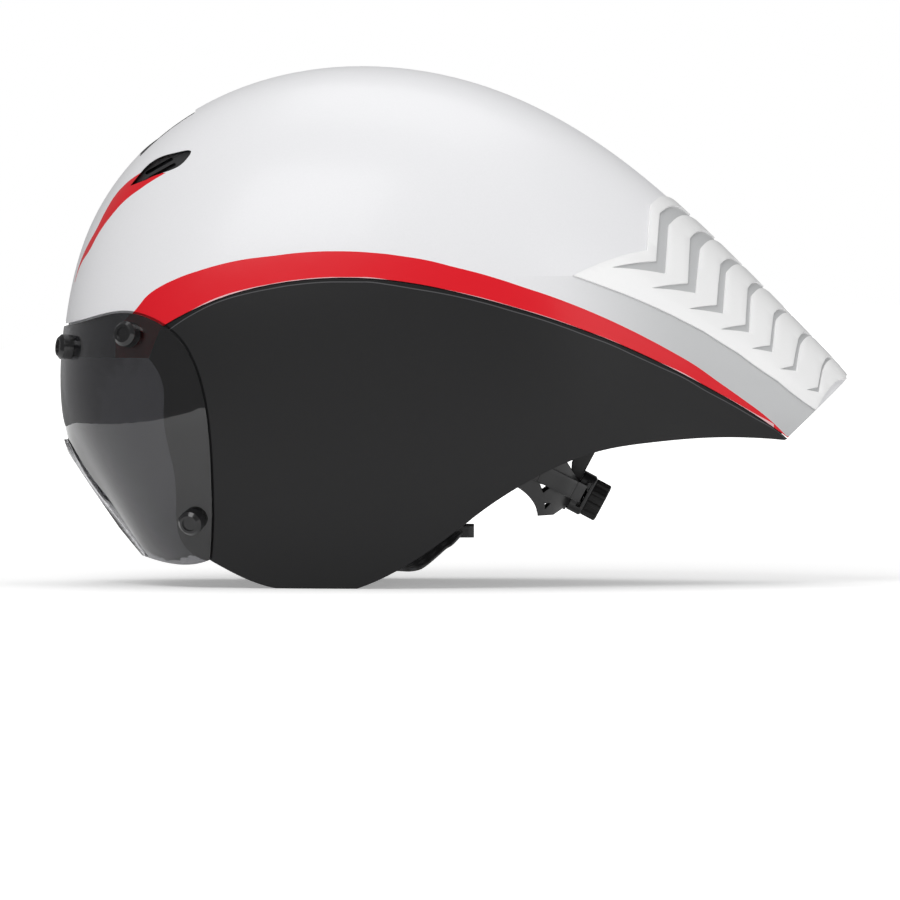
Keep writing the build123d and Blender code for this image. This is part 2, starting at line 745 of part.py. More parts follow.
grille_rear_line = cut_line(grille_inset)
grille_front_line = cut_line(grille_inset + grille_wall)
core_rear_line = cut_line(grille_inset + grille_wall + liner_gap)
core_foot = place(0.0, foot_rear_shares[-2][1])[1] + underpan_inset + underpan_wall + underpan_gap
with BuildPart() as tail_duct:
    for duct_place, duct_width, duct_height, duct_middle in tail_duct_sections:
        with BuildSketch(Plane.YZ.offset(duct_place)):
            with Locations((0, duct_middle)):
                RectangleRounded(duct_width, duct_height, duct_round)
    loft(ruled=True)
with BuildPart() as tail_core:
    add(liner_skin)
    add(side_block(
        [(tail_front, core_foot), (helmet_length, core_foot)],
        [(helmet_length, sky_height), (tail_front, sky_height)],
    ), mode=Mode.INTERSECT)
    add(side_block(
        core_rear_line, [(core_rear_line[1][0], sky_height), (tail_front - overrun, sky_height)],
        [(tail_front - overrun, core_rear_line[0][1]), core_rear_line[0]],
    ), mode=Mode.INTERSECT)
    add(tail_duct.part, mode=Mode.SUBTRACT)
tail_core.part.label = "tail_core"
export_step(tail_core.part, "parts/tail_core.step")

# Grille set into the end of the tail
grille_middle = Vector(*place(*tail_cut_shares[0])) * 0.5 + Vector(*place(*tail_cut_shares[1])) * 0.5
grille_middle = grille_middle + cut_inwards * (grille_inset + grille_wall / 2)
grille_plane = Plane(
    (grille_middle.X, 0, grille_middle.Y), x_dir=(0, 1, 0), z_dir=(-cut_inwards.X, 0, -cut_inwards.Y)
)
with BuildPart() as tail_vent_grille:
    add(liner_skin)
    add(side_block(grille_rear_line, grille_front_line[::-1]), mode=Mode.INTERSECT)
    with BuildSketch(Plane.XY.offset(core_foot)):
        Rectangle(2 * helmet_length, helmet_width)
    extrude(amount=helmet_height, mode=Mode.INTERSECT)
    with BuildSketch(grille_plane):
        with GridLocations(grille_slot_pitch, 0, grille_slot_count, 1):
            SlotOverall(grille_slot_length, grille_slot_width, rotation=90)
    extrude(amount=grille_wall, both=True, mode=Mode.SUBTRACT)
tail_vent_grille.part.label = "tail_vent_grille"
export_step(tail_vent_grille.part, "parts/tail_vent_grille.step")

# Leaf-shaped vent inserts: a flanged plate with slits, one each side
leaf_slope = Vector(*leaf[5]) - Vector(*leaf[0])
leaf_middle = (Vector(*leaf[5]) + Vector(*leaf[0])) * 0.5
with BuildPart() as leaf_plates:
    add(rebate_skin)
    add(side_block(widened(leaf, -leaf_clearance, loop=True)), mode=Mode.INTERSECT)
    add(rebate_inner_skin, mode=Mode.SUBTRACT)
with BuildPart() as leaf_flanges:
    add(liner_skin)
    add(side_block(widened(leaf, leaf_flange, loop=True)), mode=Mode.INTERSECT)
    add(rebate_inner_skin, mode=Mode.SUBTRACT)
with BuildPart() as leaf_inserts:
    add(leaf_plates.part)
    add(leaf_flanges.part)
    with BuildSketch(Plane.XZ.offset(0)):
        with Locations((leaf_middle.X, leaf_middle.Y)):
            with Locations(Rotation(0, 0, degrees(atan2(leaf_slope.Y, leaf_slope.X)))):
                with GridLocations(0, leaf_slit_pitch, 1, leaf_slit_count):
                    SlotOverall(leaf_slit_length, leaf_slit_width)
    extrude(amount=helmet_width, both=True, mode=Mode.SUBTRACT)
leaf_solids = leaf_inserts.part.solids().sort_by(Axis.Y)
with BuildPart() as left_vent_insert:
    add(leaf_solids[0])
left_vent_insert.part.label = "left_vent_insert"
export_step(left_vent_insert.part, "parts/left_vent_insert.step")
with BuildPart() as right_vent_insert:
    add(leaf_solids[-1])
right_vent_insert.part.label = "right_vent_insert"
export_step(right_vent_insert.part, "parts/right_vent_insert.step")

# Tray of the centre scoop: its floor dives under the shell and feeds the air channel
with BuildPart() as centre_scoop:
    add(outer_form)
    add(side_block(
        widened(scoop_floor, -scoop_wall),
        [(duct_front, sky_height), (scoop_front + scoop_clearance, sky_height)],
        reach=scoop_width / 2 - scoop_clearance,
    ), mode=Mode.INTERSECT)
    add(side_block(
        scoop_floor, [(duct_front, sky_height), (scoop_floor[0][0], sky_height)],
        reach=scoop_width / 2 - scoop_clearance - scoop_wall,
    ), mode=Mode.SUBTRACT)
    add(side_block(
        [(scoop_rear - scoop_clearance, scoop_bottom), (duct_front + overrun, scoop_bottom)],
        [(duct_front + overrun, sky_height), (scoop_rear - scoop_clearance, sky_height)],
    ) - liner_skin, mode=Mode.SUBTRACT)
    add(side_block(
        [(scoop_front - overrun, scoop_bottom), (scoop_front + scoop_clearance, scoop_bottom)],
        [(scoop_front + scoop_clearance, sky_height), (scoop_front - overrun, sky_height)],
    ) - liner_skin, mode=Mode.SUBTRACT)
centre_scoop.part.label = "centre_scoop"
export_step(centre_scoop.part, "parts/centre_scoop.step")

# Comfort pads on the head side of the liner
with BuildPart() as pad_layer:
    add(head_block(pad_gap))
    add(head_block(pad_gap + pad_thickness), mode=Mode.SUBTRACT)
cavity_front = cavity_middle - cavity_length / 2
with BuildPart() as brow_pad:
    add(pad_layer.part)
    with BuildSketch(Plane.XY.offset(brow_pad_foot)):
        with Locations((cavity_front, 0)):
            Rectangle(2 * brow_pad_reach, cavity_width)
    extrude(amount=brow_pad_height, mode=Mode.INTERSECT)
brow_pad.part.label = "brow_pad"
export_step(brow_pad.part, "parts/brow_pad.step")
with BuildPart() as crown_pads:
    add(pad_layer.part)
    with BuildSketch(Plane.XY.offset(cavity_widest_height)):
        with Locations((cavity_middle, 0)):
            with GridLocations(0, crown_pad_spacing, 1, 2):
                SlotOverall(crown_pad_length, crown_pad_width)
    extrude(amount=cavity_top, mode=Mode.INTERSECT)
crown_pads.part.label = "crown_pads"
export_step(crown_pads.part, "parts/crown_pads.step")
with BuildPart() as side_pads:
    add(pad_layer.part)
    with BuildSketch(Plane.XZ):
        with Locations((side_pad_middle, side_pad_foot + side_pad_height / 2)):
            RectangleRounded(side_pad_length, side_pad_height, side_pad_round)
    extrude(amount=cavity_width, both=True, mode=Mode.INTERSECT)
side_pad_solids = side_pads.part.solids().sort_by(Axis.Y)
with BuildPart() as left_side_pad:
    add(side_pad_solids[0])
left_side_pad.part.label = "left_side_pad"
export_step(left_side_pad.part, "parts/left_side_pad.step")
with BuildPart() as right_side_pad:
    add(side_pad_solids[-1])
right_side_pad.part.label = "right_side_pad"
export_step(right_side_pad.part, "parts/right_side_pad.step")

# Ear pads inside the lower part of the side covers
with BuildPart() as ear_pads:
    add(liner_skin)
    with BuildSketch(Plane.XZ):
        with Locations((ear_pad_middle, ear_pad_foot + ear_pad_height / 2)):
            RectangleRounded(ear_pad_length, ear_pad_height, ear_pad_round)
    extrude(amount=helmet_width, both=True, mode=Mode.INTERSECT)
    add(form_layer(liner_depth + ear_pad_thickness), mode=Mode.SUBTRACT)
ear_solids = ear_pads.part.solids().sort_by(Axis.Y)
with BuildPart() as left_ear_pad:
    add(ear_solids[0])
left_ear_pad.part.label = "left_ear_pad"
export_step(left_ear_pad.part, "parts/left_ear_pad.step")
with BuildPart() as right_ear_pad:
    add(ear_solids[-1])
right_ear_pad.part.label = "right_ear_pad"
export_step(right_ear_pad.part, "parts/right_ear_pad.step")

# Retention: cradle with the dial housing on its back
dial_plane = Plane(cradle_seat, x_dir=(0, 1, 0), z_dir=outwards_rear)
pinion_radius = pinion_teeth * tooth_pitch / (2 * pi)
rack_floor = housing_floor + rack_gap
track_height = 2 * (pinion_radius + tooth_reach + rack_height + rack_gap)
track_depth = rack_thickness + 2 * rack_gap
lid_seat = housing_floor + track_depth
cradle_outline = outline(cradle_shares)
cradle_edges = [cradle_outline[index:index + 2] for index in range(3, len(cradle_outline) - 1)]
cradle_block = side_block(cradle_outline[:4], *cradle_edges)
with BuildPart() as cradle:
    with BuildSketch(cradle_plane):
        Circle(cradle_radius)
        Circle(cradle_radius - cradle_wall, mode=Mode.SUBTRACT)
    extrude(amount=helmet_width / 2, both=True)
    add(cradle_block, mode=Mode.INTERSECT)
    for window_shares in cradle_window_shares:
        window = outline(window_shares)
        add(side_block(*[window[index:index + 2] for index in range(len(window) - 1)]), mode=Mode.SUBTRACT)
    with BuildSketch(dial_plane.offset(-cradle_wall)):
        RectangleRounded(housing_width, housing_height, housing_round)
    extrude(amount=cradle_wall + lid_seat)
    with BuildSketch(dial_plane.offset(housing_floor)):
        Rectangle(2 * housing_width, track_height)
    extrude(amount=track_depth, mode=Mode.SUBTRACT)
    with BuildSketch(dial_plane.offset(-cradle_wall)):
        Rectangle(hanger_width + 2 * tongue_gap, 2 * housing_height)
    extrude(amount=-cradle_radius, mode=Mode.SUBTRACT)
    with BuildSketch(cradle_plane):
        Circle(cradle_radius - cradle_wall)
        Circle(cradle_radius - cradle_wall - guide_depth, mode=Mode.SUBTRACT)
        with Locations((cradle_radius, 0)):
            Rectangle(cradle_radius, hanger_width + 2 * (tongue_gap + guide_wall), mode=Mode.INTERSECT)
            Rectangle(cradle_radius, hanger_width + 2 * tongue_gap, mode=Mode.SUBTRACT)
    extrude(amount=guide_height / 2, both=True)
cradle.part.label = "cradle"
export_step(cradle.part, "parts/cradle.step")

# Lid over the racks, with the spindle hole
with BuildPart() as dial_housing_lid:
    with BuildSketch(dial_plane.offset(lid_seat)):
        RectangleRounded(housing_width, housing_height, housing_round)
        Circle(spindle_diameter / 2 + spindle_gap, mode=Mode.SUBTRACT)
    extrude(amount=lid_thickness)
    chamfer(faces().sort_by(Axis((0, 0, 0), tuple(outwards_rear)))[-1].outer_wire().edges(), lid_chamfer)
dial_housing_lid.part.label = "dial_housing_lid"
export_step(dial_housing_lid.part, "parts/dial_housing_lid.step")

# Dial with finger lobes, and the pinion behind it
dial_start = lid_seat + lid_thickness + dial_gap
with BuildPart() as dial:
    with BuildSketch(dial_plane.offset(dial_start)):
        Circle(dial_diameter / 2 - dial_lobe_depth)
        with PolarLocations(dial_diameter / 2 - dial_lobe_radius, dial_lobes):
            Circle(dial_lobe_radius)
    extrude(amount=dial_depth)
    chamfer(faces().sort_by(Axis((0, 0, 0), tuple(outwards_rear)))[-1].outer_wire().edges(), dial_bevel)
    with BuildSketch(dial_plane.offset(dial_start + dial_depth)):
        Circle(dial_dish_diameter / 2)
    extrude(amount=-dial_dish_depth, mode=Mode.SUBTRACT)
    with BuildSketch(dial_plane.offset(rack_floor + rack_thickness)):
        Circle(spindle_diameter / 2)
    extrude(amount=dial_start - rack_floor - rack_thickness)
dial.part.label = "dial"
export_step(dial.part, "parts/dial.step")
with BuildPart() as dial_pinion:
    with BuildSketch(dial_plane.offset(rack_floor)):
        Circle(pinion_radius - tooth_reach + tooth_overlap)
        with PolarLocations(pinion_radius, pinion_teeth):
            Trapezoid(tooth_root_width, 2 * tooth_reach, pinion_tooth_slope, rotation=-90)
    extrude(amount=rack_thickness)
dial_pinion.part.label = "dial_pinion"
export_step(dial_pinion.part, "parts/dial_pinion.step")

# Racks: the left one above the pinion, the right one below it
rack_middle = rack_inner_reach - rack_length / 2


def rack_shape(side):
    """A toothed strip beside the pinion: side 1 is above it and runs left, -1 below it and runs right."""
    tooth_line = side * (pinion_radius + tooth_reach)
    tooth_places = [
        (side * (rack_inner_reach - tooth_pitch * (index + 1 / 2)), tooth_line)
        for index in range(rack_tooth_count)
    ]
    with BuildPart() as rack:
        with BuildSketch(dial_plane.offset(rack_floor)):
            with Locations((side * rack_middle, tooth_line + side * rack_height / 2)):
                Rectangle(rack_length, rack_height)
            with Locations(*tooth_places):
                Trapezoid(
                    tooth_root_width, 2 * tooth_reach - tooth_tip_gap, rack_tooth_slope,
                    rotation=90 * (1 + side), align=(Align.CENTER, Align.MIN),
                )
        extrude(amount=rack_thickness)
    return rack.part


with BuildPart() as left_rack:
    add(rack_shape(1))
left_rack.part.label = "left_rack"
export_step(left_rack.part, "parts/left_rack.step")
with BuildPart() as right_rack:
    add(rack_shape(-1))
right_rack.part.label = "right_rack"
export_step(right_rack.part, "parts/right_rack.step")

# Soft pads on the head side of the cradle
pad_outer = cradle_radius - cradle_wall - pad_gap
with BuildPart() as cradle_pads:
    with BuildSketch(cradle_plane):
        Circle(pad_outer)
        Circle(pad_outer - cradle_pad_thickness, mode=Mode.SUBTRACT)
        with Locations((cradle_radius, 0)):
            Rectangle(cradle_radius, 2 * cradle_pad_reach, mode=Mode.INTERSECT)
            Rectangle(cradle_radius, 2 * cradle_pad_start, mode=Mode.SUBTRACT)
    extrude(amount=cradle_pad_height / 2, both=True)
cradle_pads.part.label = "cradle_pads"
export_step(cradle_pads.part, "parts/cradle_pads.step")


def rear_point(out, up):
    """A side view point near the dial, from its reach outwards and upwards along the tilted cradle."""
    point = cradle_seat + outwards_rear * out + up_rear * up
    return (point.X, point.Z)


# Hanger: a tongue that slides in the cradle's guides, and an eye that swings on the pin
tongue_rear = -cradle_wall - tongue_gap
tongue_front = tongue_rear - hanger_thickness
pin_place = (hanger_pin_place, hanger_pin_height)
hanger_outline = [
    rear_point(tongue_front, -tongue_foot), rear_point(tongue_rear, -tongue_foot),
    rear_point(tongue_rear, wedge_top), rear_point(tongue_front - wedge_reach, wedge_top),
    rear_point(tongue_front - wedge_reach, wedge_top / 2), rear_point(tongue_front, 0),
]
with BuildPart() as hanger:
    with BuildSketch(Plane.XZ):
        with BuildLine():
            Polyline(*hanger_outline, close=True)
        make_face()
        with Locations(pin_place):
            Circle(hanger_eye_diameter / 2)
    extrude(amount=hanger_width / 2, both=True)
    with BuildSketch(Plane.XZ):
        with Locations(pin_place):
            Circle(hanger_pin_diameter / 2 + pin_gap)
    extrude(amount=hanger_width, both=True, mode=Mode.SUBTRACT)
    with BuildSketch(dial_plane):
        with Locations((0, -tongue_foot / 2)):
            SlotOverall(tongue_slot_length, tongue_slot_width, rotation=90)
    extrude(amount=cradle_radius, both=True, mode=Mode.SUBTRACT)
hanger.part.label = "hanger"
export_step(hanger.part, "parts/hanger.step")

# Fork under the liner that holds the hanger's pin
fork_inner = hanger_width / 2 + pin_gap * 3
bracket_top = place(0.0, liner_foot_shares[-1][1])[1] - pad_gap
with BuildPart() as hanger_bracket:
    with BuildSketch(Plane.XY.offset(bracket_top)):
        with Locations((hanger_pin_place, 0)):
            RectangleRounded(bracket_length, 2 * (fork_inner + bracket_wall), bracket_wall)
    extrude(amount=-bracket_wall)
    with BuildSketch(Plane.XZ):
        with Locations(pin_place):
            Circle(hanger_eye_diameter / 2 + bracket_wall / 2)
        with Locations((hanger_pin_place, bracket_top - bracket_wall / 2)):
            Rectangle(
                hanger_eye_diameter + bracket_wall, bracket_top - bracket_wall / 2 - hanger_pin_height,
                align=(Align.CENTER, Align.MAX),
            )
    extrude(amount=fork_inner + bracket_wall, both=True)
    with BuildSketch(Plane.XZ):
        with Locations((hanger_pin_place, 0)):
            Rectangle(bracket_length, bracket_top - bracket_wall, align=(Align.CENTER, Align.MIN))
    extrude(amount=fork_inner, both=True, mode=Mode.SUBTRACT)
    with BuildSketch(Plane.XZ):
        with Locations(pin_place):
            Circle(hanger_pin_diameter / 2)
    extrude(amount=fork_inner + bracket_wall / 2, both=True, mode=Mode.SUBTRACT)
hanger_bracket.part.label = "hanger_bracket"
export_step(hanger_bracket.part, "parts/hanger_bracket.step")
with BuildPart() as hanger_pin:
    with BuildSketch(Plane.XZ):
        with Locations(pin_place):
            Circle(hanger_pin_diameter / 2)
    extrude(amount=fork_inner + bracket_wall / 2, both=True)
hanger_pin.part.label = "hanger_pin"
export_step(hanger_pin.part, "parts/hanger_pin.step")

# Belts from the racks round the cradle and forward inside the liner
with BuildPart() as belts:
    with BuildSketch(cradle_plane):
        with BuildLine():
            Spline(*belt_line)
        trace(line_width=belt_thickness)
    extrude(amount=belt_height / 2, both=True)
    mirror(about=Plane.XZ)
belt_solids = belts.part.solids().sort_by(Axis.Y)
with BuildPart() as left_belt:
    add(belt_solids[0])
left_belt.part.label = "left_belt"
export_step(left_belt.part, "parts/left_belt.step")
with BuildPart() as right_belt:
    add(belt_solids[-1])
right_belt.part.label = "right_belt"
export_step(right_belt.part, "parts/right_belt.step")


def strap_shape(route, margin=0.0, on_wall=True):
    """A flat strap along a route: its first half faces the cavity wall, or all of it spans the length."""
    with BuildPart() as strap:
        for index, point in enumerate(route):
            run = Vector(*route[min(index + 1, len(route) - 1)]) - Vector(*route[max(index - 1, 0)])
            facing = Vector(1, 0, 0).cross(run)
            if on_wall:
                facing = wall_facing(point) if 2 * index < len(route) else Vector(0, 1, 0)
            with BuildSketch(Plane(point, x_dir=run.cross(facing), z_dir=run)):
                Rectangle(strap_width + 2 * margin, strap_thickness + 2 * margin)
        loft(ruled=True)
    return strap.part


# Webbing straps from the anchors to the dividers below the ears
front_strap = strap_shape(front_strap_route)
rear_strap = strap_shape(rear_strap_route)
chin_strap = strap_shape(chin_strap_route, on_wall=False)
with BuildPart() as right_front_strap:
    add(front_strap)
right_front_strap.part.label = "right_front_strap"
export_step(right_front_strap.part, "parts/right_front_strap.step")
with BuildPart() as right_rear_strap:
    add(rear_strap)
right_rear_strap.part.label = "right_rear_strap"
export_step(right_rear_strap.part, "parts/right_rear_strap.step")
with BuildPart() as right_chin_strap:
    add(chin_strap)
right_chin_strap.part.label = "right_chin_strap"
export_step(right_chin_strap.part, "parts/right_chin_strap.step")
with BuildPart() as left_front_strap:
    add(front_strap.mirror(Plane.XZ))
left_front_strap.part.label = "left_front_strap"
export_step(left_front_strap.part, "parts/left_front_strap.step")
with BuildPart() as left_rear_strap:
    add(rear_strap.mirror(Plane.XZ))
left_rear_strap.part.label = "left_rear_strap"
export_step(left_rear_strap.part, "parts/left_rear_strap.step")
with BuildPart() as left_chin_strap:
    add(chin_strap.mirror(Plane.XZ))
left_chin_strap.part.label = "left_chin_strap"
export_step(left_chin_strap.part, "parts/left_chin_strap.step")

# Dividers that join the straps below each ear
with BuildPart() as strap_spaces:
    add(strap_shape(front_strap_route, strap_clearance))
    add(strap_shape(rear_strap_route, strap_clearance))
    add(strap_shape(chin_strap_route, strap_clearance, on_wall=False))
with BuildPart() as right_strap_divider:
    with BuildSketch(Plane(divider_place, x_dir=(1, 0, 0), z_dir=(0, 1, 0))):
        RectangleRounded(divider_length, divider_height, divider_round)
    extrude(amount=divider_thickness / 2, both=True)
    add(strap_spaces.part, mode=Mode.SUBTRACT)
right_strap_divider.part.label = "right_strap_divider"
export_step(right_strap_divider.part, "parts/right_strap_divider.step")
with BuildPart() as left_strap_divider:
    add(right_strap_divider.part.mirror(Plane.XZ))
left_strap_divider.part.label = "left_strap_divider"
export_step(left_strap_divider.part, "parts/left_strap_divider.step")

# Buckle: the right half's rail slides into the left half from the front
buckle_plane = Plane((buckle_middle, 0, buckle_height), x_dir=(1, 0, 0), z_dir=(0, 0, 1))
buckle_front = -buckle_width / 2
rail_width = buckle_width - buckle_stop_wall - buckle_gap
head_start = buckle_split - buckle_rail_reach


def rail_shape(margin):
    """The rail of the right half: a thick head on a thin neck, grown by a margin."""
    with BuildPart() as rail:
        with BuildSketch(buckle_plane):
            with Locations((buckle_front - margin, head_start - margin)):
                Rectangle(rail_width + 2 * margin, buckle_rail_head + 2 * margin, align=Align.MIN)
        extrude(amount=buckle_rail_height / 2 + margin, both=True)
        with BuildSketch(buckle_plane):
            with Locations((buckle_front - margin, head_start)):
                Rectangle(rail_width + 2 * margin, buckle_rail_reach + 2 * buckle_gap, align=Align.MIN)
        extrude(amount=buckle_neck_height / 2 + margin, both=True)
    return rail.part


with BuildPart() as buckle_socket:
    with BuildSketch(buckle_plane):
        with Locations((0, -(buckle_length / 2 - buckle_split) / 2)):
            RectangleRounded(buckle_width, buckle_length / 2 + buckle_split, buckle_round)
    extrude(amount=buckle_thickness / 2, both=True)
    add(rail_shape(buckle_gap), mode=Mode.SUBTRACT)
    add(strap_spaces.part.mirror(Plane.XZ), mode=Mode.SUBTRACT)
buckle_socket.part.label = "buckle_socket"
export_step(buckle_socket.part, "parts/buckle_socket.step")
with BuildPart() as buckle_slider:
    with BuildSketch(buckle_plane):
        with Locations((0, (buckle_length / 2 + buckle_split + buckle_gap) / 2)):
            RectangleRounded(buckle_width, buckle_length / 2 - buckle_split - buckle_gap, buckle_round)
    extrude(amount=buckle_thickness / 2, both=True)
    add(rail_shape(0.0))
    add(strap_spaces.part, mode=Mode.SUBTRACT)
buckle_slider.part.label = "buckle_slider"
export_step(buckle_slider.part, "parts/buckle_slider.step")
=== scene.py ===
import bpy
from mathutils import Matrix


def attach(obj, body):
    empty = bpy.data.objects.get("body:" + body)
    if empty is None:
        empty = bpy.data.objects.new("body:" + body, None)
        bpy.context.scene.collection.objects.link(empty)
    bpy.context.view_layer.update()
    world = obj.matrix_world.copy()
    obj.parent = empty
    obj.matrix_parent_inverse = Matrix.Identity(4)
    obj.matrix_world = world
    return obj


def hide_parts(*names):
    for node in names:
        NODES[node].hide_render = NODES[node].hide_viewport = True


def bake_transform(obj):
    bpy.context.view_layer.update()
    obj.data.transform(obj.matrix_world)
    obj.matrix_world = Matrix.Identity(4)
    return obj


bl_info = {
    "name": "Aero time trial helmet",
    "version": (1, 0, 0),
    "blender": (4, 5, 0),
    "location": "View3D > Sidebar > Helmet",
    "description": "Finishes, soft pieces, graphics and stage of an aero time trial helmet",
    "category": "Object",
}

import math

import bmesh
import bpy
from bpy.props import FloatProperty, FloatVectorProperty, PointerProperty
from mathutils import Vector
from mathutils.bvhtree import BVHTree

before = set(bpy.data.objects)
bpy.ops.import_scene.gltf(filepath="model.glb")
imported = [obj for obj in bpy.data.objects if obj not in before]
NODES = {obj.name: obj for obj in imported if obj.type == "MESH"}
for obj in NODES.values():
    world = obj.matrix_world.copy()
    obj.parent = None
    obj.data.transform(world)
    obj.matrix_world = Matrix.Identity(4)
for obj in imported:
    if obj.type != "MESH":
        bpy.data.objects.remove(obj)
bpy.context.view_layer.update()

MM = 0.001

# The photograph's scale, its size and middle in pixels, and the place of the origin in it
PHOTO_MM = 0.48
PHOTO_SIZE = 900
PHOTO_MIDDLE = 450
PHOTO_MIDDLE_X = 452
PHOTO_GROUND_Y = 585


def at_photo(px, py):
    """Side view place in metres of a point of the photograph."""
    return (px - PHOTO_MIDDLE_X) * PHOTO_MM * MM, (PHOTO_GROUND_Y - py) * PHOTO_MM * MM


# Side view outlines, in pixels of the photograph: the stripe and the seam under it, the two edges of
# the brow accent, and the crease below which the white shell carries grey painted shade on the tail
STRIPE_TOP = [
    (120, 330), (132, 317), (140, 308), (152, 294), (164, 286), (176, 280), (188, 275), (200, 271),
    (224, 264), (248, 259), (272, 256), (308, 252), (344, 251), (380, 253), (404, 256), (428, 260),
    (452, 266), (476, 272), (500, 279), (524, 287), (548, 295), (572, 304), (596, 314), (620, 325),
    (644, 337), (668, 350), (692, 364), (716, 381), (740, 398), (764, 416), (785, 436),
]
SEAM = [
    (172, 326), (200, 308), (224, 297), (248, 290), (272, 285), (296, 281), (332, 278), (368, 278),
    (392, 281), (416, 285), (440, 289), (464, 294), (488, 300), (512, 307), (536, 314), (560, 322),
    (584, 331), (608, 340), (632, 351), (656, 362), (680, 373), (704, 387), (728, 400), (752, 414),
    (776, 428), (785, 437),
]
ACCENT_RIGHT = [
    (76, 284), (82.5, 265), (91, 251.6), (101.7, 232.4), (113, 217), (126.5, 202), (141.8, 190.3),
    (159, 179), (172, 172),
]
ACCENT_LEFT = [
    (75.6, 284), (81.6, 263), (88.3, 247.7), (97.8, 230.5), (107.4, 211.4), (117, 196), (126.5, 185.6),
    (136, 178), (150, 170),
]
CREASE = [
    (570.7, 275.6), (596, 284.5), (620, 293.5), (644, 303.5), (668, 314.5), (700, 331), (735, 353),
    (775, 381), (813.2, 409.8),
]
# Edges of the tail panel and of the floor under it; None lies on the ridge, where only the place along
# the helmet counts
PANEL_FRONT = [(676, None), (648.8, 206.6), (644.7, 251.5)]
PANEL_REAR = [(843.5, 381.6), (845.3, None)]
FLOOR_FRONT = [(680, None), (653, 211), (649, 257), (601, 269)]
FLOOR_REAR = [(812, 402), (839, 380), (841, None)]
# Corners of each chevron from the ridge's low side round to its high side
CHEVRONS = [
    [(698.5, None), (666.6, 226.8), (662.5, 274.8), (609, 267.9),
     (652.9, 262.4), (657, 215.8), (688.6, None)],
    [(721.8, None), (698.2, 250.1), (692.7, 294), (648.8, 288.5),
     (684.5, 284.4), (687.2, 240.5), (713, None)],
    [(746.5, None), (724.2, 273.4), (720.1, 314.5), (685.8, 309.1),
     (713.3, 305.8), (717.4, 266.6), (740.5, None)],
    [(769.4, None), (748.9, 297.5), (746.2, 333.2), (717.4, 329.6),
     (742.1, 325.5), (744.8, 290.4), (762, None)],
    [(794, None), (773.6, 321.4), (769.5, 352.9), (748.4, 348.8),
     (766.7, 346.1), (770.9, 315.4), (789.3, None)],
    [(814.8, None), (798.3, 346.1), (793.3, 371.6), (776.9, 369.4),
     (790, 366.6), (795.5, 340.6), (810.5, None)],
    [(836.5, None), (820.2, 371.6), (816.1, 392.7), (803.8, 390),
     (814.7, 388), (818.9, 368), (833.6, None)],
]


def srgb(value):
    """A linear colour with full alpha from an sRGB hex value."""
    channels = [int(value[index:index + 2], 16) / 255 for index in (0, 2, 4)]
    return [c / 12.92 if c <= 0.04045 else ((c + 0.055) / 1.055) ** 2.4 for c in channels] + [1.0]


# Fine patterns of the materials, in repeats per metre
PEARL_FLAKES = 1100.0
ORANGE_PEEL = 330.0
SPARK_GRAIN = 2000.0
LENS_SMEARS = 60.0
TRIM_CLOUD = 400.0
FOAM_BEADS = 310.0
RUBBED_MARKS = 700.0
PAPER_FIBRES = 25.0

# Distance in metres between the lines of the wave texture at a scale of 1, for each way its bands run
WAVE_SPACING = {"X": math.tau / 20, "Z": math.tau / 20, "DIAGONAL": math.tau / 10 / math.sqrt(2)}

# How far the gloss of a small moulding and of rubbed metal wanders, as a share of their roughness
MOULDING_SPREAD = 0.15
RUBBED_SPREAD = 0.3

# Paint of the shell: the share of light that the shaded pearl keeps, then in pixels where the painted
# shade below the crease fades in along the helmet, the accents' top and foot, and the rear end of the
# painted highlight along the seam
PEARL_SHADE = 0.96
CREASE_SHADE_FADE = (500, 700)
ACCENT_TOP = 174
ACCENT_FOOT = 283
SEAM_HIGHLIGHT_END = 772

# Painted highlight along the seam, a pale line on the stripe's lower edge: its width in metres and its
# colour
SEAM_HIGHLIGHT_WIDTH = 0.0007
SEAM_HIGHLIGHT_COLOUR = "E8B9BD"

# Painted light on the rolled edge of the covers: how far each band reaches below the seam in metres, and
# its shade; the pale band is a painted highlight on the edge's round, the dark band nearer the seam is
# painted shade in the joint
SEAM_SHADE_AND_HIGHLIGHT = ((0.0018, "4C4C4E"), (0.0013, "0D0D0E"))


class HelmetLooks(bpy.types.PropertyGroup):
    """Colours and finishes that a user would change."""
    shell_colour: FloatVectorProperty(
        name="Shell colour", description="Pearl paint of the upper shell", subtype="COLOR", size=4,
        default=srgb("E9E9EB"), min=0, max=1)
    # Painted shade: grey on the tail below the crease, where the shell faces downwards
    crease_shade_colour: FloatVectorProperty(
        name="Lower tail colour", description="Silver paint between the tail panel and the stripe",
        subtype="COLOR", size=4, default=srgb("C3C4C5"), min=0, max=1)
    stripe_colour: FloatVectorProperty(
        name="Stripe colour", description="Gloss paint of the side stripe and the brow accents",
        subtype="COLOR", size=4, default=srgb("DB0F20"), min=0, max=1)
    cover_colour: FloatVectorProperty(
        name="Cover colour", description="Satin moulding over the ears", subtype="COLOR", size=4,
        default=srgb("1B1B1C"), min=0, max=1)
    lens_colour: FloatVectorProperty(
        name="Lens tint", description="Smoke tint of the visor", subtype="COLOR", size=4,
        default=srgb("6A6A6D"), min=0, max=1)
    panel_colour: FloatVectorProperty(
        name="Tail panel colour", description="White raised panel on the tail", subtype="COLOR", size=4,
        default=srgb("F2F2F2"), min=0, max=1)
    chevron_colour: FloatVectorProperty(
        name="Chevron colour", description="Silver grey chevrons in the tail panel", subtype="COLOR",
        size=4, default=srgb("BEBFC0"), min=0, max=1)


